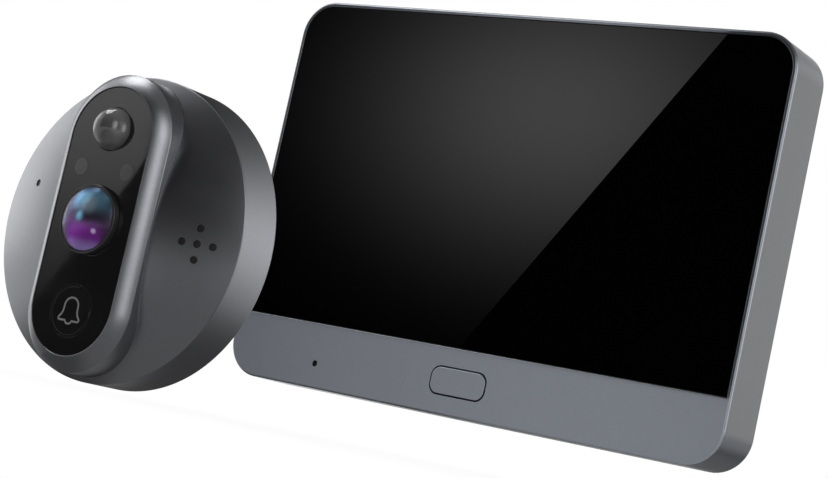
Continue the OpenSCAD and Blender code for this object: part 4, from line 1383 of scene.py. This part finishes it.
# Azimuth, elevation, distance, width, height and radiance of each softbox
SOFTBOXES = {
    "left_softbox": (-94, 3, 0.8, 0.6, 0.8, 0.95),
    "top_softbox": (-80, 56, 0.62, 0.34, 0.24, 5.0),
    "right_softbox": (95, 8, 0.8, 0.56, 0.6, 2.0),
}
LIGHTS_AIM = Vector((-0.02, -0.05, -0.01))


def direction(azimuth, elevation):
    a, e = math.radians(azimuth), math.radians(elevation)
    return Vector((math.sin(a) * math.cos(e), -math.cos(a) * math.cos(e), math.sin(e)))


def make_softboxes():
    for name, (azimuth, elevation, distance, width, height, radiance) in SOFTBOXES.items():
        data = bpy.data.lights.new(name, "AREA")
        data.shape = "RECTANGLE"
        data.size, data.size_y = width, height
        data.energy = radiance * math.pi * width * height
        lamp = bpy.data.objects.new(name, data)
        place = LIGHTS_AIM + direction(azimuth, elevation) * distance
        turn = (LIGHTS_AIM - place).to_track_quat("-Z", "Y").to_matrix().to_4x4()
        lamp.matrix_world = Matrix.Translation(place) @ turn
        lamp.visible_camera = False
        bpy.context.scene.collection.objects.link(lamp)


FLAG_BLACK = (0.004, 0.004, 0.004, 1)


def dark_flag(name, x, y, z, cover=1.0, tint=(1.0, 1.0, 1.0)):
    """Dark card with soft edges; tint colours what passes through it.

    One of x, y and z is the card's plane. The others are spans: edge, full from, full to, edge.
    """
    material, tree, shader = stage_material(name)
    shader.inputs["Base Color"].default_value = FLAG_BLACK
    shader.inputs["Roughness"].default_value = 1.0
    shader.inputs["Specular IOR Level"].default_value = 0.0
    place = place_parts(tree)
    corners = [()]
    for axis, span in zip("XYZ", (x, y, z)):
        if not isinstance(span, tuple):
            corners = [(*corner, span) for corner in corners]
            continue
        ends = (span[0], span[3]) if len(corners) == 1 else (span[0], span[0], span[3], span[3])
        corners = [(*corner, end) for corner, end in zip((corners + corners[::-1])[:len(ends)], ends)]
        for gone, full in ((span[0], span[1]), (span[3], span[2])):
            if gone != full:
                cover = math_node(tree, "MULTIPLY", smooth_step(tree, place[axis], gone, full), cover)
    show(tree, mix_shaders(tree, cover, see_through(tree, tint), shader.outputs[0]))
    flag = stage_object(name, corners, material)
    flag.visible_camera = flag.visible_shadow = False


GRAZE_FROM, GRAZE_TO = 0.5, 0.72


def light_card(name, y, outline, spot, spread, radiance, rear=True):
    """Upright card at depth y, black but for one soft spot of light on its rear or front side.

    Rays that graze it pass through, so views along the screen mirror the plain studio.
    """
    material, tree, _ = stage_material(name)
    place = place_parts(tree)
    across = math_node(tree, "DIVIDE", math_node(tree, "SUBTRACT", place["X"], spot[0]), spread[0])
    up = math_node(tree, "DIVIDE", math_node(tree, "SUBTRACT", place["Z"], spot[1]), spread[1])
    far = math_node(tree, "MULTIPLY_ADD", across, across, math_node(tree, "MULTIPLY", up, up))
    fall = math_node(tree, "EXPONENT", math_node(tree, "MULTIPLY", far, -0.5))
    turned = tree.nodes.new("ShaderNodeNewGeometry").outputs["Backfacing"]
    lit = turned if rear else math_node(tree, "SUBTRACT", 1.0, turned)
    fall = math_node(tree, "MULTIPLY", fall, lit)
    glow = tree.nodes.new("ShaderNodeEmission")
    join(tree, math_node(tree, "MULTIPLY", fall, radiance), glow.inputs["Strength"])
    grazing = tree.nodes.new("ShaderNodeLayerWeight").outputs["Facing"]
    passing = smooth_step(tree, grazing, GRAZE_FROM, GRAZE_TO)
    show(tree, mix_shaders(tree, passing, glow.outputs[0], see_through(tree)))
    card = stage_object(name, [(x, y, z) for x, z in outline], material)
    card.visible_camera = card.visible_diffuse = card.visible_shadow = False


def rectangle(x, z):
    return [(x[0], z[0]), (x[1], z[0]), (x[1], z[1]), (x[0], z[1])]


WALL_CARD_Y = -0.7
SCREEN_CARD_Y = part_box("monitor_frame")[0].y - 0.0022
SCREEN_CARD_X, SCREEN_CARD_TOP = (-0.07, 0.0622), 0.0478
SCREEN_SPLIT_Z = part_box("screen_glass")[0].z + 0.0001
SCREEN_SLANT_X = (-0.0032, 0.0469)
SCREEN_SPOT, SCREEN_SPREAD = (0.0094, 0.0245), (0.0305, 0.019)
BAND_CARD_Y = -0.034


def make_cards():
    """What the glossy faces mirror as light; the screen's card ends in a slanting edge."""
    left, right = SCREEN_CARD_X
    low, high = (SCREEN_SLANT_X[0], SCREEN_SPLIT_Z), (SCREEN_SLANT_X[1], SCREEN_CARD_TOP)
    bright = [(left, SCREEN_SPLIT_Z), low, high, (left, SCREEN_CARD_TOP)]
    dark = [low, (right, SCREEN_SPLIT_Z), (right, SCREEN_CARD_TOP), high]
    light_card("screen_card", SCREEN_CARD_Y, bright, SCREEN_SPOT, SCREEN_SPREAD, 1.22)
    light_card("screen_shade", SCREEN_CARD_Y, dark, SCREEN_SPOT, SCREEN_SPREAD, 0.0)
    light_card("bar_card", SCREEN_CARD_Y, rectangle(SCREEN_CARD_X, (FLOOR_Z, SCREEN_SPLIT_Z)),
               (0.0281, -0.0405), (0.0863, 0.096), 0.9)
    light_card("band_card", BAND_CARD_Y, rectangle((-0.07, 0.06), (-0.05, 0.07)),
               (0.014, -0.012), (0.029, 0.028), 1.68, rear=False)
    light_card("bezel_card", WALL_CARD_Y, rectangle((0.2, 1.6), (FLOOR_Z, 0.9)),
               (0.49, 0.3), (0.16, 0.32), 4.2)
    window_outline = [(-0.76, -0.03), (-0.67, -0.03), (-0.592, 0.088), (-0.592, 0.26), (-0.76, 0.26)]
    light_card("window_card", WALL_CARD_Y, window_outline, (-0.63, 0.15), (0.3, 0.08), 1.35)


FRONT_FLAG_Y, RIGHT_FLAG_Y = -1.05, 0.9
LEFT_FLAG_X, BEZEL_FLAG_X = -0.75, -0.002
CEILING_Z = 0.7
# Floor flags that overlap have heights of their own, because flags in one plane cancel each other
FLOOR_FLAG_Z, CONTACT_FLAG_Z = FLOOR_Z + 0.0005, FLOOR_Z + 0.00077
BEZEL_FLOOR_FLAG_Z, MONITOR_FLAG_Z = FLOOR_Z + 0.00104, FLOOR_Z + 0.00158
WARM = (1.0, 0.975, 0.89)


def make_flags():
    """What the glossy faces mirror as dark; the flags on the floor are painted shadow of the head and the
    monitor, hidden from the camera.
    """
    wall = (FLOOR_Z, FLOOR_Z, 0.6, 0.8)
    dark_flag("front_flag", (-1.3, -1.0, 0.27, 0.45), FRONT_FLAG_Y, (FLOOR_Z, FLOOR_Z, 1.0, 1.5))
    dark_flag("right_flag", (0.25, 0.35, 1.2, 1.6), RIGHT_FLAG_Y, wall, 0.33, WARM)
    dark_flag("left_flag", LEFT_FLAG_X, (0.1, 0.22, 1.0, 1.0), wall, 0.9)
    dark_flag("ceiling_flag", (-0.9, -0.6, 0.6, 0.9), (-1.05, -0.75, 1.2, 1.4), CEILING_Z, 0.8)
    # Painted shadow on the floor under the head and the monitor, for what the part mirrors
    dark_flag("floor_flag", (-0.14, -0.07, 0.0, 0.07), (-0.6, -0.28, -0.05, 0.01), FLOOR_FLAG_Z, 0.66)
    dark_flag("side_floor_flag", (0.068, 0.068, 0.5, 0.9), (0.0, 0.0, 0.5, 0.9), FLOOR_FLAG_Z, 0.6)
    dark_flag("contact_flag", (-0.1, -0.07, -0.02, 0.01), (-0.082, -0.066, -0.02, 0.02), CONTACT_FLAG_Z, 0.7)
    dark_flag("bezel_floor_flag", (-0.064, -0.056, -0.045, -0.037), (-0.095, -0.089, -0.078, -0.071),
              BEZEL_FLOOR_FLAG_Z, 0.5)
    dark_flag("monitor_floor_flag", (-0.065, -0.02, 0.07, 0.085), (-0.015, -0.009, 0.05, 0.07),
              MONITOR_FLAG_Z, 0.8)
    dark_flag("bezel_flag", BEZEL_FLAG_X, (-0.107, -0.1, -0.078, -0.066), (FLOOR_Z, FLOOR_Z, -0.02, -0.008),
              0.6)


make_head_shell()
make_lens()
make_motion_sensor()
make_emitters()
make_bell_button()
make_bell_sign()
make_rounded_pieces()
make_screws("head_screws", "door_side")
make_screws("rear_screws", "monitor")
make_posts()
make_knob_ribs()
make_contacts()
make_sound_mesh_and_shade()
finish_plain_nodes()
make_floor()
make_world()
make_softboxes()
make_cards()
make_flags()

bpy.context.scene.view_settings.view_transform = "Standard"
